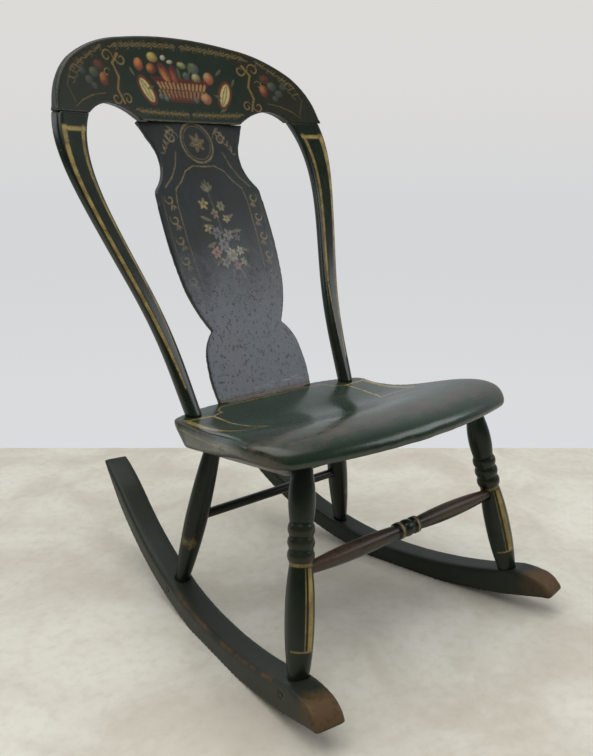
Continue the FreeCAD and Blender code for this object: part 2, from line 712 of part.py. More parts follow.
def crest_outline(sketch):
    """Front view: a long rounded top, two arches, and a straight part over the splat."""
    seam = size["seam_height"] + gap
    top = size["crest_top"]
    outer = size["post_seam_out"] + size["post_seam_width"] / 2
    inner = size["post_seam_out"] - size["post_seam_width"] / 2
    straight = size["crest_bottom_half"]
    low, arch, arch_out = size["crest_bottom"], size["crest_arch_top"], size["crest_arch_out"]
    rise = top - seam
    # Corners of the long round top, and the points that its arcs pass through.
    side_way, shoulder = (outer * 0.955, seam + rise * 0.325), (outer * 0.835, seam + rise * 0.618)
    brow_way, brow = (outer * 0.645, seam + rise * 0.82), (outer * 0.42, seam + rise * 0.93)
    # Each arch is two arcs, fuller than a straight line between their ends.
    inner_way = ((arch_out + straight) / 2 + 3, arch - 5)
    outer_way = ((arch_out + inner) / 2, arch - 4.5)
    right = [
        (straight, low),
        (straight + 8, low + 5),
        (inner_way, (arch_out, arch)),
        (outer_way, (inner, seam)),
        (outer, seam),
        (side_way, shoulder),
        (brow_way, brow),
    ]
    left = other_side(right)
    draw_outline(sketch, right + [((Size.of(0), top), left[0])] + left[1:])


def crest_slab(name, thickness, front, top_front):
    """Bowed board, leaning back: its front face or its back face is one face of the crest."""
    body = doc.addObject("PartDesign::Body", name)
    plan = new_sketch(body, name + "_plan", "XY_Plane")
    rise = size["crest_top"] - size["seam_height"]
    slope = (top_front - front) / rise
    foot = front - size["seam_height"] * slope
    near, far = size["crest_bow"], size["crest_bow"] + thickness
    if thickness.value < 0:
        foot, near, far = foot + thickness, near + thickness, size["crest_bow"] + 0
    reach = size["post_seam_out"] + size["post_seam_width"]
    middle = foot - near
    side_front = middle + root(near * near - reach * reach)
    side_back = middle + root(far * far - reach * reach)
    draw_outline(plan, [
        (-reach, side_front),
        ((Size.of(0), middle + near), (reach, side_front)),
        (reach, side_back),
        ((Size.of(0), middle + far), (-reach, side_back)),
    ])
    slab = body.newObject("PartDesign::Pad", name + "_pad")
    slab.Profile = plan
    slab.UseCustomVector = True
    slab.Direction = vector(0, slope.value, 1)
    slab.AlongSketchNormal = True
    slab.setExpression("Length", (size["crest_top"] * 1.1).text)
    return body


def crest():
    """The front outline, kept where it crosses a bowed board that is thinner at the top."""
    face = doc.addObject("PartDesign::Body", "crest_face")
    face_sketch = new_sketch(face, "crest_front_view", "XZ_Plane")
    crest_outline(face_sketch)
    pad(face, "crest_front_pad", face_sketch, size["crest_face_behind"] * 4)
    deep = size["crest_thickness"]
    front = size["crest_face_behind"]
    top_front = front + (size["crest_top"] - size["seam_height"]) * tangent(size["crest_lean"])
    blank = doc.addObject("Part::MultiCommon", "crest_blank")
    blank.Shapes = [
        face,
        crest_slab("crest_front_slab", deep * 3, front, top_front),
        crest_slab("crest_back_slab", -deep * 3, front + deep,
                   top_front + size["crest_top_thickness"]),
    ]
    return blank


crest_blank = crest()


def splat_board():
    """Shaped board drawn flat, then leaned back, with a tenon at each end."""
    body = doc.addObject("PartDesign::Body", "splat")
    sketch = new_sketch(body, "splat_outline", "XZ_Plane")
    lean = cosine(size["splat_lean"])
    tall = (size["crest_bottom"] - gap - size["seat_height"]) / lean
    foot, lobe, notch = half("splat_foot"), half("splat_lobe"), half("splat_notch")
    wide, neck, head = half("splat_body"), half("splat_neck"), half("splat_head")
    tenon = half("splat_tenon_width")
    deep = size["splat_tenon_foot"]
    high = tall + size["splat_tenon_top"]
    right = [
        (tenon, -deep),
        (tenon, 0),
        (foot, 0),
        # round lower lobe, drawn in to the notch
        ((lobe, tall * 0.072), (lobe - 2, tall * 0.143)),
        ((notch + 15, tall * 0.204), (notch, tall * 0.247)),
        # long upper body with rounded shoulders
        ((notch + 15.5, tall * 0.318), (wide - 6, tall * 0.407)),
        ((wide, tall * 0.56), (wide - 1.5, tall * 0.728)),
        ((wide - 3, tall * 0.75), (wide - 8, tall * 0.766)),
        # neck, flaring to the crest
        ((neck + 0.5, tall * 0.845), (head - 13, tall * 0.935)),
        (head, tall),
        (tenon, tall),
        (tenon, high),
    ]
    draw_outline(sketch, right + other_side(right))
    board = pad(body, "splat_board", sketch, size["splat_thickness"], "One side")
    board.Reversed = True
    body.Placement = splat_place
    return body


splat_place = FreeCAD.Placement(
    vector(0, size["splat_face_behind"].value, size["seat_height"].value),
    FreeCAD.Rotation(vector(1, 0, 0), -size["splat_lean"].value))
splat = splat_board()


def splat_slot(name, low, high):
    """Tool for a mortise: the tenon with the glue gap on every side."""
    box = doc.addObject("Part::Box", name)
    box.setExpression("Length", (size["splat_tenon_width"] + gap * 2).text)
    box.setExpression("Width", (size["splat_thickness"] + gap * 2).text)
    box.setExpression("Height", (high - low).text)
    corner = vector(-(half("splat_tenon_width") + gap).value, -gap.value, low.value)
    box.Placement = splat_place.multiply(FreeCAD.Placement(corner, FreeCAD.Rotation()))
    return box


splat_tall = (size["crest_bottom"] - gap - size["seat_height"]) / cosine(size["splat_lean"])
crest_slot = splat_slot("crest_mortise", splat_tall - size["splat_thickness"],
                        splat_tall + size["splat_tenon_top"] + gap)
seat_slot = splat_slot("seat_mortise", -size["splat_tenon_foot"] - gap, size["splat_tenon_foot"])
dowel_hole_right = mirrored("crest_dowel_hole_right", dowel_hole)
crest_rail = cut("crest_rail", crest_blank, [crest_slot, dowel_hole, dowel_hole_right])


def seat_plan(sketch, inset):
    """Seat from above: bowed front, hollow sides, straight back with rounded corners."""
    back, front = size["seat_back_reach"] - inset, size["seat_front_reach"]
    rear, waist = half("seat_back_width") - inset, half("seat_waist_width")
    wide, lip = half("seat_front_width"), half("seat_lip_width")
    bow = size["seat_front_bow"]
    lip_y = bow - front - root(bow * bow - lip * lip)
    fall = back - size["seat_back_round"]
    # Each arc: the point that it passes through, then where it ends.
    right = [
        (lip, lip_y),
        # round front corner, to the widest place
        ((wide - 7.5, lip_y + 29), (wide - 1.5, lip_y + 56)),
        # drawn in to the waist, then straight to the back
        ((wide - 11, lip_y + 93), (wide - 27, lip_y + 132)),
        ((waist + 5, lip_y + 180), (rear, lip_y + 250)),
        # cut back corner and the start of the back edge
        ((rear - 1.5, fall - 26), (rear - size["seat_back_corner"], fall - 18)),
        ((rear - 55, fall - 4), (half("splat_foot"), fall)),
    ]
    left = other_side(right)
    draw_outline(sketch, [((Size.of(0), -front), right[0])] + right[1:]
                 + [((Size.of(0), back), left[0])] + left[1:])


seat_tilt = tangent(size["seat_underside_slope"])


def seat_side(sketch):
    """Plank from the side, before the top is hollowed: bevelled under the front."""
    back, front = size["seat_back_reach"] + 10, size["seat_front_reach"]
    legs = (size["rear_leg_head_behind"] + size["rear_leg_foot_behind"]) / 2
    under_legs = size["seat_height"] - size["seat_underside_drop"]
    lip_end = size["seat_lip_depth"] - front
    knee = lip_end + size["seat_front_bevel"]
    top = size["seat_ridge_height"] + 20
    draw_outline(sketch, [
        (back, under_legs - (back - legs) * seat_tilt),
        (back, top),
        (-front - 10, top),
        (-front - 10, size["seat_lip_height"]),
        (lip_end, size["seat_lip_height"]),
        (knee, under_legs - (knee - legs) * seat_tilt),
    ])


def seat_section(sketch):
    """Plank from the front: flat underneath, bevelled up to both sides."""
    legs = (size["rear_leg_head_behind"] + size["rear_leg_foot_behind"]) / 2
    low = size["seat_height"] - size["seat_underside_drop"] + legs * seat_tilt
    start = size["seat_bevel_start"]
    wide = size["seat_front_width"]
    rise = (wide - start) * tangent(size["seat_side_bevel"])
    draw_outline(sketch, [
        (wide, low + rise),
        (wide, low + rise * 3),
        (-wide, low + rise * 3),
        (-wide, low + rise),
        (-start, low),
        (start, low),
    ])


def seat_top_height(across, inward):
    """Height of the seat's top at a distance from the middle and in from the front edge."""
    ledge, ridge = size["seat_height"].value, size["seat_ridge_height"].value
    roll, slope_end = size["seat_roll_depth"].value, size["seat_slope_depth"].value
    dish, dish_end = size["seat_dish"].value, size["seat_dish_back"].value
    rise = ridge - ledge
    if inward < slope_end:
        share = (inward - roll * 1.3) / (slope_end - roll * 1.3)
        rise *= 0.5 + 0.5 * math.cos(math.pi * max(share, 0))
    else:
        rise = 0
    hollow = 0
    if roll * 2 < inward < dish_end:
        share = (inward - roll * 2) / (dish_end - roll * 2)
        edge = min(abs(across) / (size["seat_back_width"].value * 0.55), 1)
        hollow = dish * math.sin(math.pi * share) ** 2 * (1 - edge ** 2) ** 2
    return ledge + rise - hollow


def seat_top_tool():
    """Everything above the seat's top: a roll at the front, a slope and a shallow dish."""
    front, bow = size["seat_front_reach"].value, size["seat_front_bow"].value
    roll = size["seat_roll_depth"].value
    lip, ridge = size["seat_lip_height"].value, size["seat_ridge_height"].value
    # The surface starts a little ahead of the edge, runs past the back, and is wider than the seat.
    margin, past_back, spacing = 1.6, 390, 13
    columns_each_side, columns_to_edge = 12, 11
    columns = []
    for step in range(-columns_each_side, columns_each_side + 1):
        across = step * size["seat_front_width"].value / 2 / columns_to_edge
        edge = bow - front - math.sqrt(bow ** 2 - across ** 2) - margin
        column = []
        for turn in range(0, 90, 15):
            angle = math.radians(turn)
            column.append(vector(across, edge + roll * (1 - math.cos(angle)),
                                 lip + (ridge - lip) * math.sin(angle)))
        inward = roll
        while inward < past_back:
            column.append(vector(across, edge + inward, seat_top_height(across, inward)))
            inward += spacing
        columns.append(column)
    surface = Part.BSplineSurface()
    surface.interpolate(columns)
    tool = doc.addObject("Part::Feature", "seat_top_tool")
    tool.Shape = surface.toShape().extrude(vector(0, 0, 80))
    return tool


def seat():
    plan_body = doc.addObject("PartDesign::Body", "seat_plan_body")
    edge = size["seat_height"] - size["seat_back_edge"]
    plan = new_sketch(plan_body, "seat_from_above", "XY_Plane", edge)
    seat_plan(plan, Size.of(0))
    pad(plan_body, "seat_plan_pad", plan, size["seat_height"] / 3, "One side")
    upper = new_sketch(plan_body, "seat_edge_above", "XY_Plane", edge)
    seat_plan(upper, Size.of(0))
    lower = new_sketch(plan_body, "seat_edge_below", "XY_Plane",
                       size["seat_height"] - size["seat_underside_drop"] - 6)
    seat_plan(lower, size["seat_back_bevel"])
    loft = plan_body.newObject("PartDesign::AdditiveLoft", "seat_edge_slope")
    loft.Profile = upper
    loft.Sections = [lower]
    loft.Ruled = True
    side_body = doc.addObject("PartDesign::Body", "seat_side_body")
    side = new_sketch(side_body, "seat_from_side", "YZ_Plane")
    seat_side(side)
    pad(side_body, "seat_side_pad", side, size["seat_front_width"] * 1.2)
    section_body = doc.addObject("PartDesign::Body", "seat_section_body")
    section = new_sketch(section_body, "seat_from_front", "XZ_Plane")
    seat_section(section)
    run = pad(section_body, "seat_section_pad", section, size["seat_front_width"] * 1.2)
    run.UseCustomVector = True
    run.Direction = vector(0, 1, -seat_tilt.value)
    run.AlongSketchNormal = True
    plank = doc.addObject("Part::MultiCommon", "seat_blank")
    plank.Shapes = [plan_body, side_body, section_body]
    return plank


def leg_socket(name, place, head, length):
    """Blind round socket in the seat's underside for the top of a leg."""
    start = shifted(place, (length - size["leg_head_socket"]).value)
    return rod(name, size[head] + gap * 2, size["leg_head_socket"] * 2 + gap, start)


post_socket = rod("post_socket", size["post_tenon"] + gap * 2,
                  post_tenon_whole + gap, post_tenon_place)
seat_tools = [
    leg_socket("front_leg_socket", front_leg_place, "front_leg_head", front_leg_length),
    leg_socket("rear_leg_socket", rear_leg_place, "rear_leg_head", rear_leg_length),
    post_socket,
]
seat_tools += [mirrored(tool.Name + "_right", tool) for tool in seat_tools]
seat_plank = cut("seat_plank", seat(), [seat_top_tool(), seat_slot] + seat_tools)

doc.recompute()


pieces = {
    "crest_rail": crest_rail,
    "back_post_left": back_post_left,
    "back_post_right": mirrored("back_post_right", back_post_left),
    "splat": splat,
    "seat_plank": seat_plank,
    "front_leg_left": front_leg_left,
    "front_leg_right": mirrored("front_leg_right", front_leg_left),
    "rear_leg_left": rear_leg_left,
    "rear_leg_right": mirrored("rear_leg_right", rear_leg_left),
    "front_stretcher": front_stretcher,
    "rear_stretcher": rear_stretcher,
    "rocker_left": rocker_left,
    "rocker_right": mirrored("rocker_right", rocker_left),
    "crest_dowel_left": crest_dowel_left,
    "crest_dowel_right": mirrored("crest_dowel_right", crest_dowel_left),
}
for leg_name, pin in pins.items():
    pieces["rocker_pin_%s_left" % leg_name] = pin
    right_name = "rocker_pin_%s_right" % leg_name
    pieces[right_name] = mirrored(right_name, pin)
doc.recompute()

for item in doc.Objects:
    if "Invalid" in item.State or "Error" in item.State:
        raise RuntimeError("%s failed: %s" % (item.Name, item.State))
for name, piece in pieces.items():
    piece.Label = name
    shape = piece.Shape
    if shape.isNull() or not shape.isValid() or len(shape.Solids) != 1:
        raise RuntimeError("%s has no single valid solid" % name)

os.makedirs("parts", exist_ok=True)
for name, piece in pieces.items():
    piece.Shape.exportStep("parts/%s.step" % name)
    print("%-24s %10.0f mm3" % (name, piece.Shape.Volume))
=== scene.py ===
import math
import bpy
import numpy as np
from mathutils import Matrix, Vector


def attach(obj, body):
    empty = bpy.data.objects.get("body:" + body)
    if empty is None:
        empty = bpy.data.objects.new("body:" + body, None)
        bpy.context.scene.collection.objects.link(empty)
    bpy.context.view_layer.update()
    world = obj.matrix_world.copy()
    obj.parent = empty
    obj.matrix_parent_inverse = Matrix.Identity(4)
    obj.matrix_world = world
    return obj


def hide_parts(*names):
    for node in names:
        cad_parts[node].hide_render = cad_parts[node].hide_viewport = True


# The looks of a painted plank-seat rocking chair: dark bottle green under old varnish, gold
# striping, a painted crest and splat, and wear where hands, feet and the floor have rubbed.
# Metres. Z is up, X is the sitter's left, the chair faces -Y.

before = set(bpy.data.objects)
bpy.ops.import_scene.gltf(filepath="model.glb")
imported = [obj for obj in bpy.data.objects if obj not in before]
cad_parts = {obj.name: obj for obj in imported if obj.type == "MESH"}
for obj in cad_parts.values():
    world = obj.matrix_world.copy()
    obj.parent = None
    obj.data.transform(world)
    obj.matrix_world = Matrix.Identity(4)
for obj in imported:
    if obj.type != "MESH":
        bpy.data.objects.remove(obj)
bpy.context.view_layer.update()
collection = bpy.context.scene.collection


# Paints, as they look in plain light
BOTTLE_GREEN = (0.0075, 0.016, 0.007)
SEAT_GREEN = (0.009, 0.025, 0.011)
BLACK_GREEN = (0.004, 0.006, 0.003)
ROCKER_GREEN = (0.013, 0.018, 0.009)
OLIVE_GROUND = (0.015, 0.0145, 0.006)
RESERVE_GREEN = (0.0065, 0.0165, 0.008)
BLUE_BLACK = (0.015, 0.02, 0.019)
RUBBED_BROWN = (0.055, 0.03, 0.016)
RED_BROWN = (0.06, 0.034, 0.018)
BARE_WOOD = (0.21, 0.125, 0.062)
GOLD = (0.27, 0.205, 0.058)
OCHRE = (0.15, 0.1, 0.03)
CHALK = (0.42, 0.4, 0.33)
# grey of the rubbed lower splat, with a painted sheen in it
GREY_BLOOM_AND_SHEEN = (0.115, 0.125, 0.145)


# Nodes for the finishes

# a colour Mix node's sockets, by number, since their names repeat, and its outlet
MIX_SHARE, MIX_UNDER, MIX_OVER, MIXED = 0, 6, 7, 2


class Wire:
    """What comes out of a node. Sums on wires that carry numbers add Math nodes."""

    def __init__(self, finish, socket):
        self.finish = finish
        self.socket = socket

    def __add__(self, other):
        return self.finish.sum("ADD", self, other)

    def __radd__(self, other):
        return self.finish.sum("ADD", other, self)

    def __sub__(self, other):
        return self.finish.sum("SUBTRACT", self, other)

    def __rsub__(self, other):
        return self.finish.sum("SUBTRACT", other, self)

    def __mul__(self, other):
        return self.finish.sum("MULTIPLY", self, other)

    def __rmul__(self, other):
        return self.finish.sum("MULTIPLY", other, self)


class Finish:
    """A material, or the room round the chair, while its colours are being mixed."""

    def __init__(self, holder):
        holder.use_nodes = True
        self.holder = holder
        self.nodes = holder.node_tree.nodes
        self.links = holder.node_tree.links
        self.nodes.clear()

    def node(self, kind, settings, sockets, out=0):
        """One node: its type, its settings, its sockets' values or wires, and the outlet."""
        made = self.nodes.new("ShaderNode" + kind)
        for key, value in settings.items():
            setattr(made, key, value)
        for key, value in sockets.items():
            if isinstance(value, Wire):
                self.links.new(value.socket, made.inputs[key])
            else:
                made.inputs[key].default_value = value
        return Wire(self, made.outputs[out]) if len(made.outputs) else made

    def sum(self, operation, first, second):
        return self.node("Math", {"operation": operation}, {0: first, 1: second})

    def most(self, first, second):
        return self.sum("MAXIMUM", first, second)

    def size(self, value):
        return self.node("Math", {"operation": "ABSOLUTE"}, {0: value})

    def ease(self, value, low, high):
        """0 below low, 1 above high, and a soft change between."""
        return self.node("MapRange", {"interpolation_type": "SMOOTHSTEP"},
                         {"Value": value, "From Min": low, "From Max": high})

    def between(self, value, low, high, soft=0.03):
        """1 where the value lies between low and high, with soft ends."""
        rising = self.ease(value, low - soft, low + soft)
        return rising * (1 - self.ease(value, high - soft, high + soft))

    def coat(self, share, under, over):
        """Colour over, laid on colour under as thickly as share says."""
        under, over = [c if isinstance(c, Wire) else (*c, 1) for c in (under, over)]
        return self.node("Mix", {"data_type": "RGBA"},
                         {MIX_SHARE: share, MIX_UNDER: under, MIX_OVER: over}, MIXED)

    def told(self, name, out="Fac"):
        """What was marked on the piece's points under that name."""
        return self.node("Attribute", {"attribute_name": name}, {}, out)

    def place(self, stretch=(1, 1, 1), shift=(0, 0, 0)):
        spot = self.node("TexCoord", {}, {}, "Object")
        return self.node("Mapping", {}, {"Vector": spot, "Scale": stretch, "Location": shift})

    def cloud(self, scale, detail=4, rough=0.55, stretch=(1, 1, 1), shift=(0, 0, 0), bend=0):
        """Uneven patches from 0 to 1, scale of them to the metre."""
        return self.node("TexNoise", {}, {
            "Vector": self.place(stretch, shift), "Scale": scale, "Detail": detail,
            "Roughness": rough, "Distortion": bend}, "Fac")

    def cells(self, scale, stretch=(1, 1, 1), shift=(0, 0, 0), kind="F1"):
        """Distance from scattered points, scale of them to the metre."""
        return self.node("TexVoronoi", {"feature": kind}, {
            "Vector": self.place(stretch, shift), "Scale": scale}, "Distance")

    def relief(self, height, strength, distance):
        """Fine unevenness: distance in metres is what a height of 1 stands out."""
        return self.node("Bump", {}, {
            "Height": height, "Strength": strength, "Distance": distance})

    def finished(self, sockets):
        skin = self.node("BsdfPrincipled", {}, sockets)
        self.node("OutputMaterial", {}, {"Surface": skin})
        return self.holder


def new_finish(name):
    return Finish(bpy.data.materials.new(name))


# Studio: camera, floor, lamps, pale room

# The camera as it was fitted to the photograph: where it stands, how far it is turned to the
# right of +Y and down from level, and its lens in millimetres
CAMERA_PLACE = (-0.76186, -0.78197, 0.6197)
CAMERA_TURN = math.radians(41.36)
CAMERA_DOWN = math.radians(14.13)
CAMERA_LENS = 39.13
SENSOR_WIDTH = 36
BACKDROP_FROM_CAMERA = 1.8
FLOOR_HALF_WIDTH = 6
FLOOR_BEHIND_CAMERA = 7
CHAIR_MIDDLE = (0, 0, 0.4)


def studio_point(right, ahead, height):
    """A place measured from below the camera, across and along its view."""
    sine, cosine = math.sin(CAMERA_TURN), math.cos(CAMERA_TURN)
    east = CAMERA_PLACE[0] + right * cosine + ahead * sine
    north = CAMERA_PLACE[1] - right * sine + ahead * cosine
    return (east, north, height)


def place_camera():
    data = bpy.data.cameras.new("camera")
    data.sensor_width = SENSOR_WIDTH
    data.lens = CAMERA_LENS
    camera = bpy.data.objects.new("camera", data)
    camera.location = CAMERA_PLACE
    camera.rotation_euler = (math.radians(90) - CAMERA_DOWN, 0, -CAMERA_TURN)
    collection.objects.link(camera)
    bpy.context.scene.camera = camera


def lay_floor():
    """A pale floor that ends at the foot of the backdrop."""
    mesh = bpy.data.meshes.new("floor")
    near, far = -FLOOR_BEHIND_CAMERA, BACKDROP_FROM_CAMERA
    corners = [studio_point(side * FLOOR_HALF_WIDTH, ahead, 0)
               for side, ahead in ((-1, near), (1, near), (1, far), (-1, far))]
    mesh.from_pydata(corners, [], [(0, 1, 2, 3)])
    floor = bpy.data.objects.new("floor", mesh)
    collection.objects.link(floor)
    f = new_finish("pale_floor")
    mottle = f.cloud(5, 5, 0.6, bend=0.6)
    grain = f.cloud(60, 4, 0.6)
    tone = f.coat(f.ease(mottle, 0.34, 0.66), (0.52, 0.485, 0.405), (0.64, 0.62, 0.545))
    tone = f.coat(f.ease(grain, 0.42, 0.72) * 0.25, tone, (0.4, 0.365, 0.29))
    mesh.materials.append(f.finished({
        "Base Color": tone, "Roughness": 0.62, "Specular IOR Level": 0.35,
        "Normal": f.relief(grain, 0.12, 0.0006)}))


def hang_lamp(name, place, width, height, power, colour):
    """A soft lamp turned towards the chair."""
    data = bpy.data.lights.new(name, "AREA")
    data.shape = "RECTANGLE"
    data.size = width
    data.size_y = height
    data.energy = power
    data.color = colour
    lamp = bpy.data.objects.new(name, data)
    lamp.location = place
    lamp.rotation_mode = "QUATERNION"
    aim = Vector(CHAIR_MIDDLE) - Vector(place)
    lamp.rotation_quaternion = aim.to_track_quat("-Z", "Y")
    collection.objects.link(lamp)


def light_room():
    """A pale backdrop behind the chair, a dimmer room in front, a window at the right."""
    room = Finish(bpy.data.worlds.new("room"))
    bpy.context.scene.world = room.holder
    way = room.node("TexCoord", {}, {}, "Generated")
    to_backdrop = (math.sin(CAMERA_TURN), math.cos(CAMERA_TURN), 0)
    ahead = room.node("VectorMath", {"operation": "DOT_PRODUCT"}, {0: way, 1: to_backdrop}, "Value")
    height = room.node("SeparateXYZ", {}, {0: way}, 2)
    seen = room.coat(room.ease(height, -0.4, 0.3), (0.7, 0.71, 0.73), (0.72, 0.705, 0.68))
    seen = room.coat(room.ease(room.size(height + 0.08), 0.2, 0.02) * 0.5, seen,
                     (0.62, 0.64, 0.66))
    mirrored = room.coat(room.ease(ahead, -0.1, 0.65), (0.06, 0.064, 0.068), (0.44, 0.46, 0.48))
    rays = room.node("LightPath", {}, {}, "Is Camera Ray")
    shiny = room.node("LightPath", {}, {}, "Is Glossy Ray")
    through = room.node("LightPath", {}, {}, "Is Transmission Ray")
    light = room.coat(shiny, (0.61, 0.62, 0.63), mirrored)
    light = room.coat(room.most(rays, through), light, seen)
    glow = room.node("Background", {}, {"Color": light, "Strength": 1.0})
    room.node("OutputWorld", {}, {"Surface": glow})
    hang_lamp("window", studio_point(2.1, 1.15, 1.38), 1.25, 0.75, 8, (0.93, 0.96, 1.0))
    hang_lamp("ceiling", studio_point(-0.3, 0.8, 2.9), 3.2, 3.2, 62, (1.0, 0.98, 0.95))
    hang_lamp("side", studio_point(-2.4, 1.3, 1.5), 0.9, 0.9, 4, (0.95, 0.97, 1.0))


# Shaping: every piece starts as a closed copy of its CAD piece

IN_MILLIMETRES = 1000
# how much of the way to its neighbours' middle a point goes at each pass
EASE_SHARE = 0.7
FAR = 1e9

def arrays(mesh):
    """The piece's points, its edges and the direction out of the wood at each point."""
    points = np.empty(len(mesh.vertices) * 3)
    mesh.vertices.foreach_get("co", points)
    edges = np.empty(len(mesh.edges) * 2, int)
    mesh.edges.foreach_get("vertices", edges)
    outward = np.empty(len(mesh.vertices) * 3)
    mesh.vertex_normals.foreach_get("vector", outward)
    return points.reshape(-1, 3), edges.reshape(-1, 2), outward.reshape(-1, 3)


def closed_copy(node, grain):
    """The CAD piece again, with evenly spaced points, grain apart, as a piece to be painted."""
    name = node + "_painted"
    piece = bpy.data.objects.new(name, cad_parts[node].data.copy())
    collection.objects.link(piece)
    even = piece.modifiers.new("even", "REMESH")
    even.mode = "VOXEL"
    even.voxel_size = grain
    even.use_smooth_shade = True
    view = bpy.context.evaluated_depsgraph_get()
    mesh = bpy.data.meshes.new_from_object(piece.evaluated_get(view))
    mesh.name = name
    piece.modifiers.clear()
    piece.data = mesh
    mesh.materials.clear()
    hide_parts(node)
    return piece


def eased(points, edges, passes, weight=1.0):
    """Points drawn towards their neighbours' middle, as rubbing rounds an arris."""
    a, b = edges.T
    count = np.bincount(np.r_[a, b], minlength=len(points)).clip(1)[:, None]
    pull = np.broadcast_to(np.asarray(weight, float).reshape(-1, 1) * EASE_SHARE, (len(points), 1))
    for _ in range(passes):
        middle = np.empty_like(points)
        for axis in range(3):
            middle[:, axis] = (np.bincount(a, points[b, axis], len(points))
                               + np.bincount(b, points[a, axis], len(points)))
        points = points + (middle / count - points) * pull
    return points


def step(value, low, high):
    """0 at low, 1 at high, and a soft change between."""
    t = np.clip((value - low) / (high - low), 0, 1)
    return t * t * (3 - 2 * t)


def reshape(piece, passes, weight=1.0):
    """Rounds the arrises, most where weight is 1 and not at all where it is 0."""
    mesh = piece.data
    points, edges, _ = arrays(mesh)
    mesh.vertices.foreach_set("co", eased(points, edges, passes, weight).ravel())
    mesh.update()


def mark(piece, name, values):
    """Keeps a number, or a colour, at each point of the piece for its finish to read."""
    kind = "FLOAT" if values.ndim == 1 else "FLOAT_COLOR"
    layer = piece.data.attributes.new(name, kind, "POINT")
    layer.data.foreach_set("value" if values.ndim == 1 else "color",
                           np.ascontiguousarray(values, np.float32).ravel())


def mark_arrises(piece, passes=12):
    """Marks outer arrises above 0 and hollows below 0, in millimetres."""
    points, edges, outward = arrays(piece.data)
    rise = ((points - eased(points, edges, passes)) * outward).sum(1)
    mark(piece, "arris", rise * IN_MILLIMETRES)
    return points, outward


def band_along(place, across, steps=70):
    """Middle and half width of a long piece at each point, from its own outline."""
    low, high = place.min(), place.max()
    share = (place - low) / (high - low) * (steps - 1e-6)
    slot = share.astype(int)
    least = np.full(steps, FAR)
    most = np.full(steps, -FAR)
    np.minimum.at(least, slot, across)
    np.maximum.at(most, slot, across)
    centres = np.arange(steps) + 0.5
    least = np.interp(share, centres, least)
    most = np.interp(share, centres, most)
    return (least + most) / 2, (most - least) / 2


def way_from(points, u, v):
    """Distance from each (u, v) to a line through the given points."""
    best = np.full(len(u), FAR)
    for (u0, v0), (u1, v1) in zip(points, points[1:]):
        du, dv = u1 - u0, v1 - v0
        t = np.clip(((u - u0) * du + (v - v0) * dv) / (du * du + dv * dv), 0, 1)
        best = np.minimum(best, np.hypot(u - u0 - t * du, v - v0 - t * dv))
    return best


# Painting freehand: soft-edged touches of colour laid on a face

class Brush:
    """A painter's hand on one face. u runs across it and v up it, in metres."""

    def __init__(self, u, v, on_face):
        self.u, self.v = u, v
        self.on_face = on_face
        self.colour = np.zeros((len(u), 3))
        self.cover = np.zeros(len(u))

    def lay(self, share, colour):
        """Colour over the face, as thickly at each point as share says."""
        share = np.clip(share, 0, 1) * self.on_face
        colour = np.atleast_2d(colour)
        self.colour = self.colour * (1 - share)[:, None] + colour * share[:, None]
        self.cover = 1 - (1 - self.cover) * (1 - share)

    def round(self, middle, half, turn=0):
        """Distance out of an oval: 0 at its middle, 1 at its rim. Also its own two axes."""
        turn = math.radians(turn)
        du, dv = self.u - middle[0], self.v - middle[1]
        along = (du * math.cos(turn) + dv * math.sin(turn)) / half[0]
        up = (dv * math.cos(turn) - du * math.sin(turn)) / half[1]
        return np.hypot(along, up), along, up

    def stroke(self, points, width, colour, strength, taper=True):
        """A stroke through the points, thinner at its two ends."""
        last = len(points) - 1
        for index, pair in enumerate(zip(points, points[1:])):
            middle = (index + 0.5) / last
            wide = width * (0.45 + 0.55 * math.sin(math.pi * middle)) if taper else width
            gap = way_from(pair, self.u, self.v)
            self.lay(strength * (1 - step(gap, wide * 0.35, wide * 0.75)), colour)

    def both(self, points, width, colour, strength, taper=True):
        """The same stroke on the right half and on the left half."""
        for side in (1, -1):
            self.stroke([(side * u, v) for u, v in points], width, colour, strength, taper)

    def leaf(self, root, length, width, turn, colour, strength):
        """A pointed leaf from its root, turned that many degrees up from +u."""
        middle = away(root, length / 2, turn)
        _, along, up = self.round(middle, (length / 2, width / 2), turn)
        lens = np.abs(up) - (1 - along * along)
        inside = (1 - step(lens, -0.35, 0.05)) * (np.abs(along) < 1)
        self.lay(strength * inside, colour)

    def fruit(self, middle, half, turn, deep, bright, strength):
        """A rounded fruit: deep at its rim, bright where the light falls, up and to the left."""
        lit = (-0.35, 0.4)
        out, along, up = self.round(middle, half, turn)
        light = step(np.hypot(along - lit[0], up - lit[1]), 1.25, 0.0)
        mixed = np.outer(1 - light, deep) + np.outer(light, bright)
        self.lay(strength * (1 - step(out, 0.82, 1.08)), mixed)

    def picture(self):
        """The colour at each point, and how thickly it lies there."""
        shown = self.colour / np.maximum(self.cover, 1e-4)[:, None]
        return np.c_[shown, self.cover]


def away(point, distance, turn):
    """The point that far from another one, turned that many degrees up from +u."""
    turn = math.radians(turn)
    return (point[0] + distance * math.cos(turn), point[1] + distance * math.sin(turn))


def curl(middle, radius, start, turns, tail=0.25, steps=22):
    """Points along a scroll that winds in towards its middle."""
    points = []
    for index in range(steps + 1):
        share = index / steps
        reach = radius * (1 - (1 - tail) * share)
        points.append(away(middle, reach, start + 360 * turns * share))
    return points


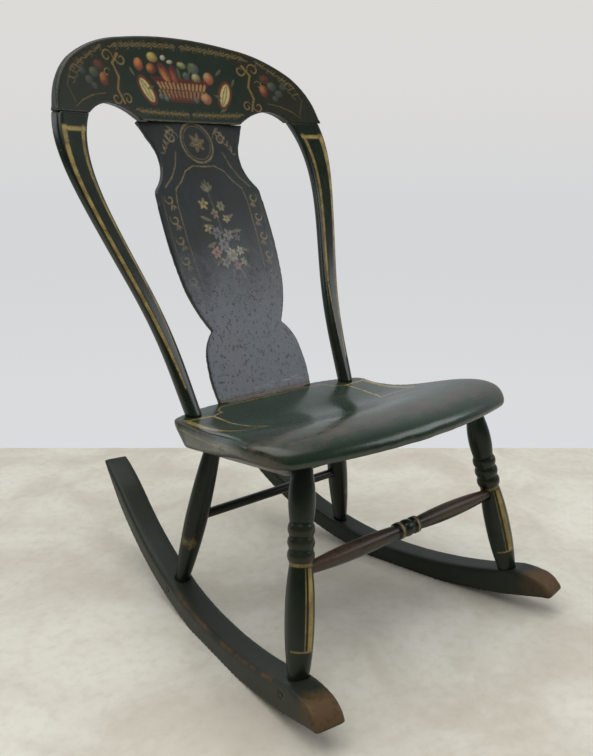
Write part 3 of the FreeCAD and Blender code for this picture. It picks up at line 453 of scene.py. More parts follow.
def vine(brush, side, start, end, level, swing, wave, strength):
    """A running border: a waving line with a small curl or leaf in every bend."""
    steps = int((end - start) / wave * 8)
    line = []
    for index in range(steps + 1):
        u = start + (end - start) * index / steps
        line.append((side * u, level(u) + swing * math.sin(2 * math.pi * (u - start) / wave)))
    brush.stroke(line, 0.002, OCHRE, strength, taper=False)
    for bend in range(int((end - start) / wave * 2)):
        u = start + wave * (0.25 + bend / 2)
        way = 1 if bend % 2 else -1
        spot = (side * u, level(u) + way * swing * 1.2)
        tendril = curl(spot, 0.0034, 90 * way, side * way * 0.8, 0.3, 8)
        brush.stroke(tendril, 0.0017, OCHRE, strength)
        brush.leaf((side * u, level(u)), 0.008, 0.0028, 90 - side * 90 + side * way * 40,
                   OCHRE, strength * 0.8)


FRUIT_RED = (0.105, 0.018, 0.01)
FRUIT_ORANGE = (0.33, 0.13, 0.035)
FRUIT_YELLOW = (0.36, 0.285, 0.085)
MELON_FLESH = (0.37, 0.31, 0.12)
PEACH = (0.36, 0.19, 0.08)
PEAR_GREEN = (0.11, 0.13, 0.05)
GRAPE = (0.04, 0.052, 0.05)
GRAPE_DIM = (0.085, 0.09, 0.06)
LEAF_GREEN = (0.052, 0.072, 0.034)
BOWL_RED = (0.07, 0.014, 0.009)


def paint_crest(brush):
    """A ribbed red bowl of fruit in a green reserve, scrolls round it, fruit at both ends."""
    # reserve, between an oval and a rectangle
    centre = 0.751
    out, _, _ = brush.round((0, centre), (0.118, 0.062))
    squared = np.maximum(np.abs(brush.u) / 0.116, np.abs(brush.v - centre) / 0.064)
    reserve = 1 - step(0.5 * out + 0.5 * squared, 0.93, 1.03)
    brush.lay(reserve * 0.9, RESERVE_GREEN)
    # bowl: a flared body on a foot, ribs in ochre
    _, along, up = brush.round((-0.006, 0.7405), (0.047, 0.0185))
    bowl = (1 - step(np.abs(along) - 0.35 * up, 0.8, 0.92)) * (1 - step(np.abs(up), 0.92, 1.05))
    brush.lay(bowl, BOWL_RED)
    for level, strength in ((0.7465, 0.95), (0.7345, 0.6)):
        for rib in range(-6, 7):
            foot = -0.006 + rib * 0.0066
            lean = rib * 0.0006
            brush.stroke([(foot, level - 0.0035), (foot + lean, level + 0.0035)], 0.0036,
                         (0.27, 0.155, 0.055), strength, taper=False)
        hoop = [(-0.048, level - 0.0062), (-0.006, level - 0.0075), (0.036, level - 0.0062)]
        brush.stroke(hoop, 0.0016, OCHRE, 0.5 * strength)
    # halved melons at both sides
    for side, lean in ((-1, 118), (1, 66)):
        middle = (side * 0.0715, 0.7375)
        out, _, _ = brush.round(middle, (0.0235, 0.0125), lean)
        brush.lay(1 - step(out, 0.93, 1.06), FRUIT_RED)
        flesh = (middle[0] + side * 0.0004, middle[1])
        out, along, up = brush.round(flesh, (0.0195, 0.0085), lean)
        brush.lay(1 - step(out, 0.86, 1.04), MELON_FLESH)
        for row in (-0.25, 0.35):
            seam = np.abs(up - row * (1 - along * along)) * 0.0085
            brush.lay(0.85 * (1 - step(seam, 0.0003, 0.0012)) * (out < 0.85), (0.09, 0.05, 0.02))
    # fruit heaped in the bowl and beside it
    heap = [
        ((-0.034, 0.7655), (0.0165, 0.008), 118, FRUIT_RED, FRUIT_ORANGE),
        ((-0.017, 0.764), (0.015, 0.0072), 100, (0.075, 0.014, 0.01), (0.21, 0.055, 0.025)),
        ((-0.057, 0.77), (0.009, 0.0082), 20, FRUIT_RED, FRUIT_ORANGE),
        ((-0.079, 0.7745), (0.0085, 0.01), -15, (0.17, 0.035, 0.015), (0.4, 0.15, 0.04)),
        ((-0.051, 0.787), (0.01, 0.0078), 0, (0.2, 0.12, 0.03), FRUIT_YELLOW),
        ((-0.031, 0.788), (0.0052, 0.0042), 25, (0.17, 0.15, 0.09), CHALK),
        ((-0.02, 0.7825), (0.006, 0.0032), 10, (0.17, 0.15, 0.09), (0.38, 0.33, 0.22)),
        ((0.001, 0.779), (0.0085, 0.0055), -8, (0.09, 0.095, 0.03), (0.26, 0.25, 0.09)),
        ((0.022, 0.7755), (0.0105, 0.009), 0, GRAPE, PEAR_GREEN),
        ((0.006, 0.7635), (0.0068, 0.006), 0, GRAPE, (0.085, 0.105, 0.06)),
        ((0.024, 0.7615), (0.0085, 0.007), 0, (0.1, 0.085, 0.035), (0.3, 0.27, 0.12)),
        ((0.047, 0.762), (0.0095, 0.0098), 0, (0.2, 0.05, 0.02), PEACH),
        ((0.036, 0.73), (0.0098, 0.0088), 0, (0.19, 0.06, 0.025), PEACH),
        ((0.017, 0.727), (0.005, 0.0045), 0, GRAPE, (0.1, 0.11, 0.1)),
        ((-0.047, 0.73), (0.0055, 0.0048), 0, GRAPE, (0.1, 0.11, 0.1)),
        ((-0.038, 0.7265), (0.0045, 0.0042), 0, GRAPE, (0.12, 0.13, 0.12)),
    ]
    for fruit in heap:
        brush.fruit(*fruit, 0.95)
    for root, length, turn in [((0.012, 0.765), 0.022, 78), ((-0.006, 0.757), 0.02, 96),
                               ((0.062, 0.768), 0.016, 40), ((0.088, 0.752), 0.015, 60),
                               ((-0.09, 0.757), 0.015, 120), ((0.052, 0.737), 0.015, -20),
                               ((-0.058, 0.744), 0.014, 200), ((0.07, 0.716), 0.013, 200)]:
        brush.leaf(root, length, 0.0062, turn, LEAF_GREEN, 0.8)
        brush.stroke([root, away(root, length * 0.8, turn)], 0.0012, OCHRE, 0.5)
    # fruit at the two ends, dimmer
    for side in (1, -1):
        for middle, half, deep, bright, strength in [
                ((0.147, 0.748), (0.008, 0.01), FRUIT_RED, FRUIT_ORANGE, 0.75),
                ((0.152, 0.767), (0.009, 0.0075), (0.06, 0.018, 0.012), (0.12, 0.035, 0.02), 0.8),
                ((0.163, 0.756), (0.0085, 0.0075), GRAPE, PEAR_GREEN, 0.6),
                ((0.174, 0.745), (0.007, 0.0062), GRAPE, GRAPE_DIM, 0.6),
                ((0.166, 0.737), (0.0055, 0.005), GRAPE, GRAPE_DIM, 0.55),
                ((0.183, 0.756), (0.006, 0.0055), GRAPE, GRAPE_DIM, 0.45)]:
            brush.fruit((side * middle[0], middle[1]), half, 0, deep, bright, strength)
        for offset in range(4):
            start = (side * (0.178 + offset * 0.006), 0.764 - offset * 0.007)
            lean = 52 + 8 * offset
            brush.leaf(start, 0.017, 0.0035, 90 - side * lean, (0.13, 0.105, 0.05), 0.55)
            brush.leaf(start, 0.012, 0.003, 90 - side * (lean + 53), (0.12, 0.1, 0.05), 0.45)
    # scrolls between the reserve and the ends, and a running border
    brush.both([(0.118, 0.716), (0.1255, 0.735), (0.1195, 0.753), (0.1265, 0.772),
                (0.114, 0.786)], 0.0034, OCHRE, 0.95, taper=False)
    for shape, width in [
            (curl((0.11, 0.779), 0.0105, 60, -1.1), 0.0026),
            (curl((0.134, 0.781), 0.011, 200, -1.05), 0.0024),
            (curl((0.1305, 0.722), 0.01, 120, 1.1), 0.0024),
            (curl((0.1105, 0.722), 0.0085, 20, 1.1), 0.0022),
            (curl((0.139, 0.757), 0.0075, 150, -0.8), 0.002)]:
        brush.both(shape, width, OCHRE, 0.85)
    for side in (1, -1):
        vine(brush, side, 0.004, 0.128, lambda u: 0.8065 - 0.62 * u * u, 0.0024, 0.021, 0.62)
        vine(brush, side, 0.14, 0.205, lambda u: 0.7955 - 0.6 * (u - 0.14), 0.002, 0.018, 0.4)
        vine(brush, side, 0.003, 0.1, lambda u: 0.7045 + 0.25 * u * u, 0.0017, 0.015, 0.5)
    brush.both([(0.15, 0.728), (0.172, 0.724), (0.192, 0.716), (0.206, 0.706)],
               0.0022, OCHRE, 0.5)
    brush.both([(0.205, 0.712), (0.214, 0.735), (0.203, 0.757)], 0.002, OCHRE, 0.35)


BLOSSOM = (0.3, 0.27, 0.2)
BLOSSOM_PINK = (0.3, 0.15, 0.125)
BLOSSOM_YELLOW = (0.29, 0.225, 0.095)
STALK = (0.085, 0.08, 0.048)
DULL_OCHRE = (0.165, 0.122, 0.06)


def petals(brush, middle, reach, count, colour, heart, start, strength):
    """A blossom: petals round its heart."""
    for index in range(count):
        turn = start + index * 360 / count
        brush.leaf(middle, reach, reach * 0.62, turn, colour, strength)
    out, _, _ = brush.round(middle, (reach * 0.26, reach * 0.26))
    brush.lay(strength * (1 - step(out, 0.7, 1.2)), heart)


def paint_splat(brush):
    """An oval medallion over a hanging bunch of flowers, scrolls down both borders."""
    # medallion with its leaves
    middle = (0.0, 0.6625)
    out, _, _ = brush.round(middle, (0.0285, 0.03))
    brush.lay(0.85 * (1 - step(np.abs(out - 1) * 0.029, 0.001, 0.0022)), DULL_OCHRE)
    brush.lay(0.6 * (1 - step(np.abs(out - 0.84) * 0.029, 0.0004, 0.0012)), DULL_OCHRE)
    for turn in range(0, 360, 60):
        brush.leaf(middle, 0.0165, 0.0088, turn + 15, DULL_OCHRE, 0.62)
    petals(brush, middle, 0.0078, 5, (0.16, 0.115, 0.06), (0.07, 0.04, 0.02), 0, 0.6)
    brush.both(curl((0.0445, 0.67), 0.012, 180, -1.2), 0.003, DULL_OCHRE, 0.75)
    for side in (1, -1):
        for index in range(5):
            root = (side * (0.037 + 0.0062 * index), 0.68 - 0.0085 * index)
            brush.leaf(root, 0.015, 0.0052, 90 - side * (60 - 13 * index), DULL_OCHRE, 0.7)
            brush.leaf(root, 0.01, 0.0042, 90 - side * (140 - 13 * index), DULL_OCHRE, 0.55)
    brush.both([(0.0, 0.6265), (0.02, 0.6275), (0.036, 0.62), (0.0485, 0.6045),
                (0.062, 0.5935), (0.066, 0.575)], 0.0021, DULL_OCHRE, 0.75, taper=False)
    brush.both([(0.044, 0.648), (0.052, 0.627), (0.064, 0.61), (0.08, 0.596)],
               0.0024, DULL_OCHRE, 0.65, taper=False)
    # borders: two lines with scrolls and buds between
    brush.both([(0.066, 0.575), (0.0665, 0.53), (0.064, 0.48), (0.057, 0.435),
                (0.044, 0.402), (0.02, 0.385)], 0.0017, DULL_OCHRE, 0.6, taper=False)
    brush.both([(0.0905, 0.585), (0.0915, 0.53), (0.09, 0.48), (0.084, 0.43)],
               0.0014, DULL_OCHRE, 0.45, taper=False)
    for index in range(6):
        level = 0.579 - 0.029 * index
        shift = -0.003 * max(0, index - 3)
        fade = 0.95 - 0.11 * index
        for side in (1, -1):
            hook = curl((side * (0.0785 + shift), level), 0.0085, 90 - side * 60, -side * 0.95)
            brush.stroke(hook, 0.0026, DULL_OCHRE, fade)
            for turn in (-70, -105, -140):
                brush.leaf((side * (0.0765 + shift), level - 0.007), 0.0105, 0.0038,
                           turn if side > 0 else -180 - turn, DULL_OCHRE, fade * 0.85)
    # the bunch: stalks, leaves, then blossoms from the back to the front
    stem = [(-0.006, 0.59), (-0.002, 0.56), (0.001, 0.53), (0.006, 0.5), (0.01, 0.478)]
    brush.stroke(stem, 0.0022, STALK, 0.8, taper=False)
    crown = (-0.006, 0.588)
    for root, length, turn in [
            (crown, 0.02, 90), (crown, 0.019, 66), (crown, 0.019, 114),
            (crown, 0.016, 44), (crown, 0.016, 138), ((-0.012, 0.545), 0.024, 158),
            ((-0.01, 0.538), 0.024, 178), ((0.01, 0.545), 0.024, 25),
            ((0.014, 0.528), 0.026, 5), ((-0.014, 0.515), 0.024, 200),
            ((0.02, 0.505), 0.024, -15), ((-0.01, 0.492), 0.022, 215),
            ((0.022, 0.486), 0.02, -42), ((0.004, 0.476), 0.018, 250),
            ((0.016, 0.474), 0.018, 290)]:
        brush.leaf(root, length, 0.0062, turn, (0.155, 0.135, 0.08), 0.72)
    blooms = [
        ((-0.02, 0.571), 0.01, 5, BLOSSOM_YELLOW, (0.12, 0.07, 0.03), 10),
        ((0.011, 0.567), 0.009, 6, (0.19, 0.165, 0.1), (0.08, 0.05, 0.03), 0),
        ((-0.004, 0.556), 0.0085, 5, (0.2, 0.14, 0.09), (0.09, 0.04, 0.03), 30),
        ((0.015, 0.548), 0.0075, 5, BLOSSOM_YELLOW, (0.1, 0.06, 0.03), 50),
        ((-0.024, 0.534), 0.008, 4, BLOSSOM_YELLOW, (0.1, 0.06, 0.03), 20),
        ((-0.01, 0.528), 0.011, 6, (0.13, 0.115, 0.12), (0.05, 0.04, 0.05), 0),
        ((0.01, 0.524), 0.011, 5, (0.17, 0.155, 0.15), (0.1, 0.08, 0.06), 40),
        ((-0.003, 0.51), 0.012, 7, (0.17, 0.16, 0.155), (0.07, 0.05, 0.06), 15),
        ((0.026, 0.52), 0.007, 5, (0.12, 0.1, 0.11), (0.05, 0.04, 0.05), 10),
        ((-0.02, 0.5), 0.011, 6, BLOSSOM_PINK, (0.14, 0.05, 0.04), 0),
        ((0.007, 0.494), 0.0125, 8, BLOSSOM, (0.18, 0.14, 0.07), 5),
        ((0.024, 0.5), 0.0085, 5, BLOSSOM, (0.16, 0.12, 0.06), 35),
        ((-0.008, 0.484), 0.009, 5, (0.26, 0.23, 0.17), (0.13, 0.09, 0.05), 60),
        ((0.012, 0.478), 0.0095, 5, BLOSSOM_PINK, (0.2, 0.09, 0.08), 20),
        ((0.026, 0.484), 0.0075, 5, (0.27, 0.24, 0.16), (0.13, 0.09, 0.05), 0),
    ]
    for bloom_and_sheen in blooms:
        petals(brush, *bloom_and_sheen, 0.88)


# Finishes

def varnished(name, ground, shade, gold=None, picture=False, wear=None, look=None):
    """Old paint on wood under varnish: a ground, striping or pictures, then rubbing and dirt.

    gold gives how thick the striping lies, wear how far the piece is rubbed, 0 to 1 each.
    look: the rubbed colour, roughness, coat, shine, how sharp an arris must be to wear, and
    how the noise is drawn out along the grain.
    """
    look = {"rubbed": RUBBED_BROWN, "rough": 0.34, "coat": 0.15, "edge": 0.5, "shine": 0.26,
            "grain_way": (1, 1, 0.08), **(look or {})}
    edge = look["edge"]
    f = new_finish(name)
    arris = f.told("arris")
    fine = f.cloud(420, 3, 0.6)
    patch = f.cloud(23, 5, 0.6, bend=0.4)
    streak = f.cloud(70, 4, 0.6, look["grain_way"])
    colour = f.coat(f.ease(patch, 0.3, 0.72), ground, shade)
    colour = f.coat(f.ease(streak, 0.52, 0.8) * 0.35, colour, [c * 1.5 for c in ground])
    if picture:
        worn_off = f.ease(f.cloud(210, 4, 0.7, shift=(3, 1, 2)), 0.3, 0.5)
        share = f.told("picture", "Alpha") * (0.35 + 0.65 * worn_off)
        colour = f.coat(share, colour, f.told("picture", "Color"))
    raised = 0
    if gold is not None:
        stripe = gold(f)
        broken = f.ease(f.cloud(330, 4, 0.75, shift=(5, 2, 1)) + 0.25 * patch, 0.44, 0.6)
        stripe = stripe * (0.25 + 0.75 * broken)
        tone = f.coat(f.ease(f.cloud(60, 3, 0.5, shift=(1, 7, 3)), 0.35, 0.7), GOLD, OCHRE)
        colour = f.coat(stripe, colour, tone)
        raised = stripe
    # rubbed arrises and handled places
    rub = f.ease(arris + 1.1 * (fine - 0.5) + 0.9 * (patch - 0.5), edge, edge + 0.55)
    if wear is not None:
        rub = f.most(rub, wear(f))
    rub = rub * f.ease(f.cloud(150, 5, 0.7, shift=(2, 9, 4)), 0.26, 0.5)
    colour = f.coat(rub * 0.85, colour, look["rubbed"])
    through = f.ease(arris * 0.7 + 1.6 * (f.cloud(95, 4, 0.7, shift=(8, 3, 5)) - 0.5),
                     edge + 0.62, edge + 0.95)
    colour = f.coat(through * 0.7, colour, BARE_WOOD)
    # dirt lies in the hollows, and pale flecks are scattered about
    dirt = f.ease(-1 * arris + 0.5 * (patch - 0.5), 0.25, 1.1)
    colour = f.coat(dirt * 0.7, colour, (0.004, 0.004, 0.003))
    fleck = 1 - f.ease(f.cells(58, shift=(4, 4, 4)), 0.03, 0.052)
    fleck = fleck * f.ease(f.cloud(9, 3, 0.6, shift=(6, 1, 8)), 0.5, 0.62)
    colour = f.coat(fleck * 0.75, colour, CHALK)
    rough = (look["rough"] + 0.2 * (f.cloud(34, 5, 0.65, shift=(7, 7, 1)) - 0.5)
             + 0.16 * rub + 0.1 * raised + 0.25 * dirt)
    height = (0.45 * f.cloud(90, 5, 0.6, look["grain_way"])
              + 0.22 * fine + 0.35 * raised - 0.25 * rub - 0.5 * through)
    return f.finished({
        "Base Color": colour, "Roughness": f.most(rough, 0.12), "Specular IOR Level": look["shine"],
        "Coat Weight": look["coat"], "Coat Roughness": 0.16,
        "Normal": f.relief(height, 0.3, 0.0007)})


def bare(name, light, dark, scale):
    """Plain wood with its grain along Z."""
    f = new_finish(name)
    rings = f.cloud(scale, 4, 0.6, (1, 1, 0.06), bend=0.8)
    fleck = f.cloud(scale * 9, 3, 0.6, (1, 1, 0.1))
    colour = f.coat(f.ease(rings, 0.32, 0.68), dark, light)
    colour = f.coat(f.ease(fleck, 0.55, 0.75) * 0.5, colour, dark)
    return f.finished({"Base Color": colour, "Roughness": 0.58 + 0.2 * (fleck - 0.5),
                       "Normal": f.relief(fleck, 0.3, 0.0004)})


# The pieces

SEAT_LEDGE = 0.292
SPLAT_FOOT = 0.2925
POST_RISE = 0.4065
CREST_BOTTOM = 0.6925
CREST_BOTTOM_HALF = 0.09
# a leg's axis on the sitter's left, from its foot to its head
FRONT_LEG = ((0.2055, -0.1535, 0.0515), (0.161, -0.1106, 0.295))
REAR_LEG = ((0.162, 0.1528, 0.041), (0.115, 0.1255, 0.257))
# a rocker's middle at y = 0, and how much wider apart they stand for each metre forward
ROCKER_MIDDLE = 0.1885
ROCKER_SPLAY = 0.15
# gold lines on the seat's top by x and y, on both halves alike, and on its sides by y and z
BAND_BACK, BAND_FRONT, INNER_BACK = (0.171, 0.114), (0.163, 0.004), (0.129, 0.111)
SEAT_LINES = {
    "band": [BAND_BACK, (0.17, 0.076), (0.1675, 0.035), BAND_FRONT],
    "inner": [BAND_BACK, INNER_BACK, (0.1285, 0.073), (0.1206, 0.0395), (0.108, 0.017),
              BAND_FRONT],
    "cusp": [INNER_BACK, (0.108, 0.118), (0.11, 0.126), (0.096, 0.139),
             (0.086, 0.14), (0.0, 0.14)],
}
SEAT_SIDE_LINE = [(0.118, 0.2815), (0.088, 0.28), (0.034, 0.285), (-0.008, 0.2935),
                  (-0.03, 0.2985)]
OFF_THE_FACE = 99


def finish_piece(piece, material):
    piece.data.materials.append(material)
    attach(piece, "root")


def paint_front(piece, points, outward, picture):
    """Paints a picture on the front of a board. Returns 1 on that face and 0 elsewhere."""
    front = step(-outward[:, 1], 0.55, 0.85)
    brush = Brush(points[:, 0], points[:, 2], front)
    picture(brush)
    mark(piece, "picture", brush.picture())
    return front


def make_crest():
    piece = closed_copy("crest_rail", 0.00125)
    points = arrays(piece.data)[0]
    x, z = np.abs(points[:, 0]), points[:, 2]
    handled = 0.03 + 0.97 * step(z, 0.718, 0.745)
    outer = step(x, 0.205, 0.232) * step(z, 0.7005, 0.709)
    reshape(piece, 26, np.maximum(handled, 0.9 * outer))
    points, outward = mark_arrises(piece)
    paint_front(piece, points, outward, paint_crest)
    lower_edge = [(side * CREST_BOTTOM_HALF, CREST_BOTTOM) for side in (-1, 1)]
    mark(piece, "lower_edge", way_from(lower_edge, points[:, 0], points[:, 2]) * IN_MILLIMETRES)

    def rubbed_edge(f):
        return (1 - f.ease(f.told("lower_edge"), 1.2, 3.2)) * 0.9

    finish_piece(piece, varnished(
        "crest_paint", OLIVE_GROUND, (0.0125, 0.0165, 0.0075), picture=True, wear=rubbed_edge,
        look={"rough": 0.36, "coat": 0.12, "edge": 0.75, "shine": 0.36, "grain_way": (0.08, 1, 1),
              "rubbed": (0.085, 0.065, 0.03)}))


def make_splat():
    piece = closed_copy("splat", 0.0013)
    height = arrays(piece.data)[0][:, 2]
    reshape(piece, 5, (1 - step(height, 0.682, 0.688)) * step(height, 0.29, 0.296))
    points, outward = mark_arrises(piece, 6)
    front = paint_front(piece, points, outward, paint_splat)
    # the lower front of the splat: rubbed by the sitter's back, and also where the painted sheen
    # goes
    low = 1 - step(points[:, 2] + 0.2 * np.abs(points[:, 0]), 0.35, 0.6)
    mark(piece, "back_rub_and_sheen", low * front)
    mark(piece, "foot", (points[:, 2] - SPLAT_FOOT) * IN_MILLIMETRES)
    finish_piece(piece, splat_finish())


def splat_finish():
    """Blue-black paint, rubbed grey by the sitter's back towards the foot with a painted sheen laid
    over that grey, scratched there.
    """
    f = new_finish("splat_paint")
    arris = f.told("arris")
    rub_and_sheen = f.told("back_rub_and_sheen")
    foot = f.told("foot")
    patch = f.cloud(26, 5, 0.62, (1, 1, 0.5), bend=0.5)
    fine = f.cloud(330, 4, 0.7)
    streak = f.cloud(80, 4, 0.65, (1, 1, 0.16), shift=(1, 2, 3))
    colour = f.coat(f.ease(patch, 0.3, 0.72), (0.0115, 0.015, 0.0125), BLUE_BLACK)
    kept = f.ease(f.cloud(230, 4, 0.75, shift=(3, 1, 2)), 0.34, 0.56)
    fade = 1 - 0.75 * f.ease(rub_and_sheen, 0.25, 0.8)
    share = f.told("picture", "Alpha") * (0.22 + 0.78 * kept) * fade
    colour = f.coat(share, colour, f.told("picture", "Color"))
    # the grey bloom and its rose tint: partly rubbed paint, partly a painted sheen
    bloom_and_sheen = f.ease(rub_and_sheen + 0.75 * (patch - 0.5) + 0.5 * (fine - 0.5), 0.15, 0.95)
    colour = f.coat(bloom_and_sheen * 0.8, colour, GREY_BLOOM_AND_SHEEN)
    rose = f.ease(f.cloud(17, 3, 0.5, shift=(4, 8, 1)), 0.52, 0.75) * bloom_and_sheen
    colour = f.coat(rose * 0.25, colour, (0.125, 0.085, 0.095))
    pits = f.ease(f.cloud(190, 5, 0.8, (1, 1, 0.7), shift=(5, 5, 5)), 0.545, 0.63)
    pits = pits * f.ease(rub_and_sheen, 0.2, 0.7)
    colour = f.coat(pits * 0.9, colour, (0.008, 0.009, 0.008))
    scar = f.ease(f.cloud(75, 6, 0.82, (0.3, 1, 1.8), shift=(2, 6, 9)), 0.52, 0.64)
    scar = scar * f.between(foot, 3, 17, 5)
    colour = f.coat(scar * 0.55, colour, (0.27, 0.28, 0.29))
    brown = (1 - f.ease(foot, 3.0, 8.0)) * f.ease(patch, 0.3, 0.55)
    colour = f.coat(brown * 0.8, colour, RUBBED_BROWN)
    line = f.between(foot, 1.6, 3.0, 0.4) * rub_and_sheen
    colour = f.coat(line * 0.6, colour, OCHRE)
    rub = f.ease(arris + 1.2 * (fine - 0.5), 0.42, 0.85)
    colour = f.coat(rub * 0.55, colour, (0.03, 0.024, 0.016))
    rough = 0.36 + 0.16 * bloom_and_sheen + 0.2 * (streak - 0.5) - 0.05 * pits
    height = 0.5 * streak + 0.35 * fine - 0.9 * pits + 0.5 * scar
    return f.finished({
        "Base Color": colour, "Roughness": f.most(rough, 0.15), "Specular IOR Level": 0.5,
        "Coat Weight": 0.2, "Coat Roughness": 0.22, "Normal": f.relief(height, 0.35, 0.0008)})


def make_post(side, name):
    piece = closed_copy("back_post_" + name, 0.0012)
    reshape(piece, 5)
    points, outward = mark_arrises(piece, 8)
    middle, half = band_along(points[:, 2], points[:, 0])
    mark(piece, "outward", (points[:, 0] - middle) / half * side)
    mark(piece, "up", (points[:, 2] - SEAT_LEDGE) / POST_RISE)
    mark(piece, "front", step(-outward[:, 1], 0.05, 0.35))
    return piece


def post_striping(f):
    """Gold down both arrises of the face, joined under the seam, in a point at the foot."""
    out, up, front = f.told("outward"), f.told("up"), f.told("front")
    narrow = f.ease(up, 0.06, 0.42)
    wide = f.between(out, 0.16 + 0.26 * narrow, 0.66 + 0.06 * narrow, 0.05)
    slim = f.between(out, -0.44 - 0.3 * narrow, -0.22 - 0.3 * narrow, 0.05)
    spear = f.size(out - 0.08) - 1.9 * (up - 0.045)
    inside = 1 - f.ease(spear, 0.12, 0.22)
    top = f.between(up, 0.938, 0.952, 0.004) * f.between(out, -0.8, 0.72, 0.03)
    lines = f.most(wide * inside, slim * inside * 0.85)
    lines = f.most(lines * (1 - f.ease(up, 0.95, 0.962)), top)
    return lines * f.ease(up, 0.085, 0.1) * front


def make_seat():
    piece = closed_copy("seat_plank", 0.0023)
    _, y, z = arrays(piece.data)[0].T
    front = step(-y, -0.06, 0.06)
    upper = step(z - (0.262 + 0.1 * np.clip(-y, 0, 1)), 0.0, 0.022)
    weight = 0.06 + upper * (0.04 + 0.86 * front)
    weight = weight * (1 - 0.9 * step(y, 0.1, 0.118) * step(z, 0.284, 0.29))
    reshape(piece, 60, weight)
    points, outward = mark_arrises(piece, 10)
    x, y, z = points.T
    side_x = np.abs(x)
    top = step(outward[:, 2], 0.55, 0.8) > 0.5
    for name, line in SEAT_LINES.items():
        way = way_from(line, side_x, y)
        mark(piece, name, np.where(top, way * IN_MILLIMETRES, OFF_THE_FACE))
    side_face = step(side_x, 0.165, 0.176) * (1 - step(outward[:, 2], 0.35, 0.6))
    pin = way_from(SEAT_SIDE_LINE, y, z)
    mark(piece, "pinstripe", np.where(side_face > 0.5, pin * IN_MILLIMETRES, OFF_THE_FACE))
    ridge = np.abs(y + 0.118 - 0.35 * x * x)
    mark(piece, "ridge", ridge * IN_MILLIMETRES)
    lip = way_from([(-0.165, 0.294), (-0.15, 0.29), (-0.125, 0.292)], y, z)
    mark(piece, "lip", np.where(z < 0.312, lip * IN_MILLIMETRES, OFF_THE_FACE))
    corner = np.hypot(np.hypot(side_x - 0.176, y + 0.004), z - 0.3)
    mark(piece, "corner", corner * IN_MILLIMETRES)
    mark(piece, "under", step(-outward[:, 2], 0.2, 0.7))
    finish_piece(piece, seat_finish())


def seat_finish():
    """Green under thick varnish, browned on the ridge and arrises, gold striped at both sides."""
    f = new_finish("seat_paint")
    arris = f.told("arris")
    fine = f.cloud(380, 3, 0.6)
    patch = f.cloud(16, 5, 0.6, bend=0.5)
    brushed = f.cloud(60, 4, 0.6, (0.1, 1, 1), shift=(2, 3, 1))
    colour = f.coat(f.ease(patch, 0.28, 0.75), SEAT_GREEN, (0.0085, 0.018, 0.01))
    colour = f.coat(f.ease(brushed, 0.5, 0.78) * 0.3, colour, (0.022, 0.04, 0.024))
    underneath = f.told("under")
    colour = f.coat(underneath * 0.7, colour, (0.01, 0.011, 0.007))
    broken = f.ease(f.cloud(300, 4, 0.75, shift=(5, 2, 1)), 0.34, 0.52)
    lines = f.most(1 - f.ease(f.told("band"), 4.0, 5.2), 1 - f.ease(f.told("inner"), 1.5, 2.5))
    lines = f.most(lines, (1 - f.ease(f.told("cusp"), 1.0, 1.9)) * 0.75)
    lines = f.most(lines, (1 - f.ease(f.told("pinstripe"), 0.8, 1.5)) * 0.6)
    lines = lines * (0.45 + 0.55 * broken)
    tone = f.coat(f.ease(f.cloud(70, 3, 0.5, shift=(1, 7, 3)), 0.35, 0.7), GOLD, OCHRE)
    colour = f.coat(lines, colour, tone)
    # the ridge of the roll, rubbed brown by legs
    ridge = 1 - f.ease(f.told("ridge") + 26 * (patch - 0.5), 8, 34)
    ridge = ridge * f.ease(f.cloud(62, 6, 0.72, (0.5, 1, 1), shift=(3, 3, 8)), 0.38, 0.62)
    colour = f.coat(ridge * 0.8, colour, (0.066, 0.046, 0.03))
    rub = f.ease(arris + 0.9 * (fine - 0.5) + 0.9 * (patch - 0.5), 0.55, 1.25)
    colour = f.coat(rub * (0.75 - 0.6 * lines), colour, RUBBED_BROWN)
    lip = 1 - f.ease(f.told("lip") + 2.6 * (f.cloud(70, 5, 0.7, shift=(6, 2, 2)) - 0.5), 1.2, 2.8)
    colour = f.coat(lip * 0.7, colour, (0.15, 0.095, 0.032))
    corner = 1 - f.ease(f.told("corner") + 15 * (f.cloud(110, 4, 0.7, shift=(1, 1, 5)) - 0.5), 3, 9)
    colour = f.coat(corner * 0.75, colour, (0.15, 0.075, 0.032))
    chips = f.ease(f.cloud(230, 5, 0.75, shift=(9, 4, 4)), 0.6, 0.66)
    chips = chips * (1 - f.ease(f.told("corner"), 12, 44))
    colour = f.coat(chips * 0.9, colour, CHALK)
    fleck = 1 - f.ease(f.cells(50, shift=(4, 4, 4)), 0.022, 0.04)
    fleck = fleck * f.ease(f.cloud(9, 3, 0.6, shift=(6, 1, 8)), 0.54, 0.64)
    colour = f.coat(fleck * 0.6, colour, CHALK)
    crack = f.ease(f.cells(26, (0.35, 1, 1), (2, 2, 2), "DISTANCE_TO_EDGE"), 0.03, 0.0) * 0.5
    rough = (0.27 + 0.22 * (f.cloud(30, 5, 0.65, shift=(7, 7, 1)) - 0.5) + 0.12 * ridge
             + 0.15 * rub + 0.25 * underneath)
    height = (0.45 * brushed + 0.25 * fine + 0.25 * lines - 0.25 * ridge - 0.7 * chips
              - 0.5 * crack * f.ease(patch, 0.5, 0.7))
    return f.finished({
        "Base Color": colour, "Roughness": f.most(rough, 0.12), "Specular IOR Level": 0.5,
        "Coat Weight": 0.3, "Coat Roughness": 0.15, "Normal": f.relief(height, 0.28, 0.0008)})


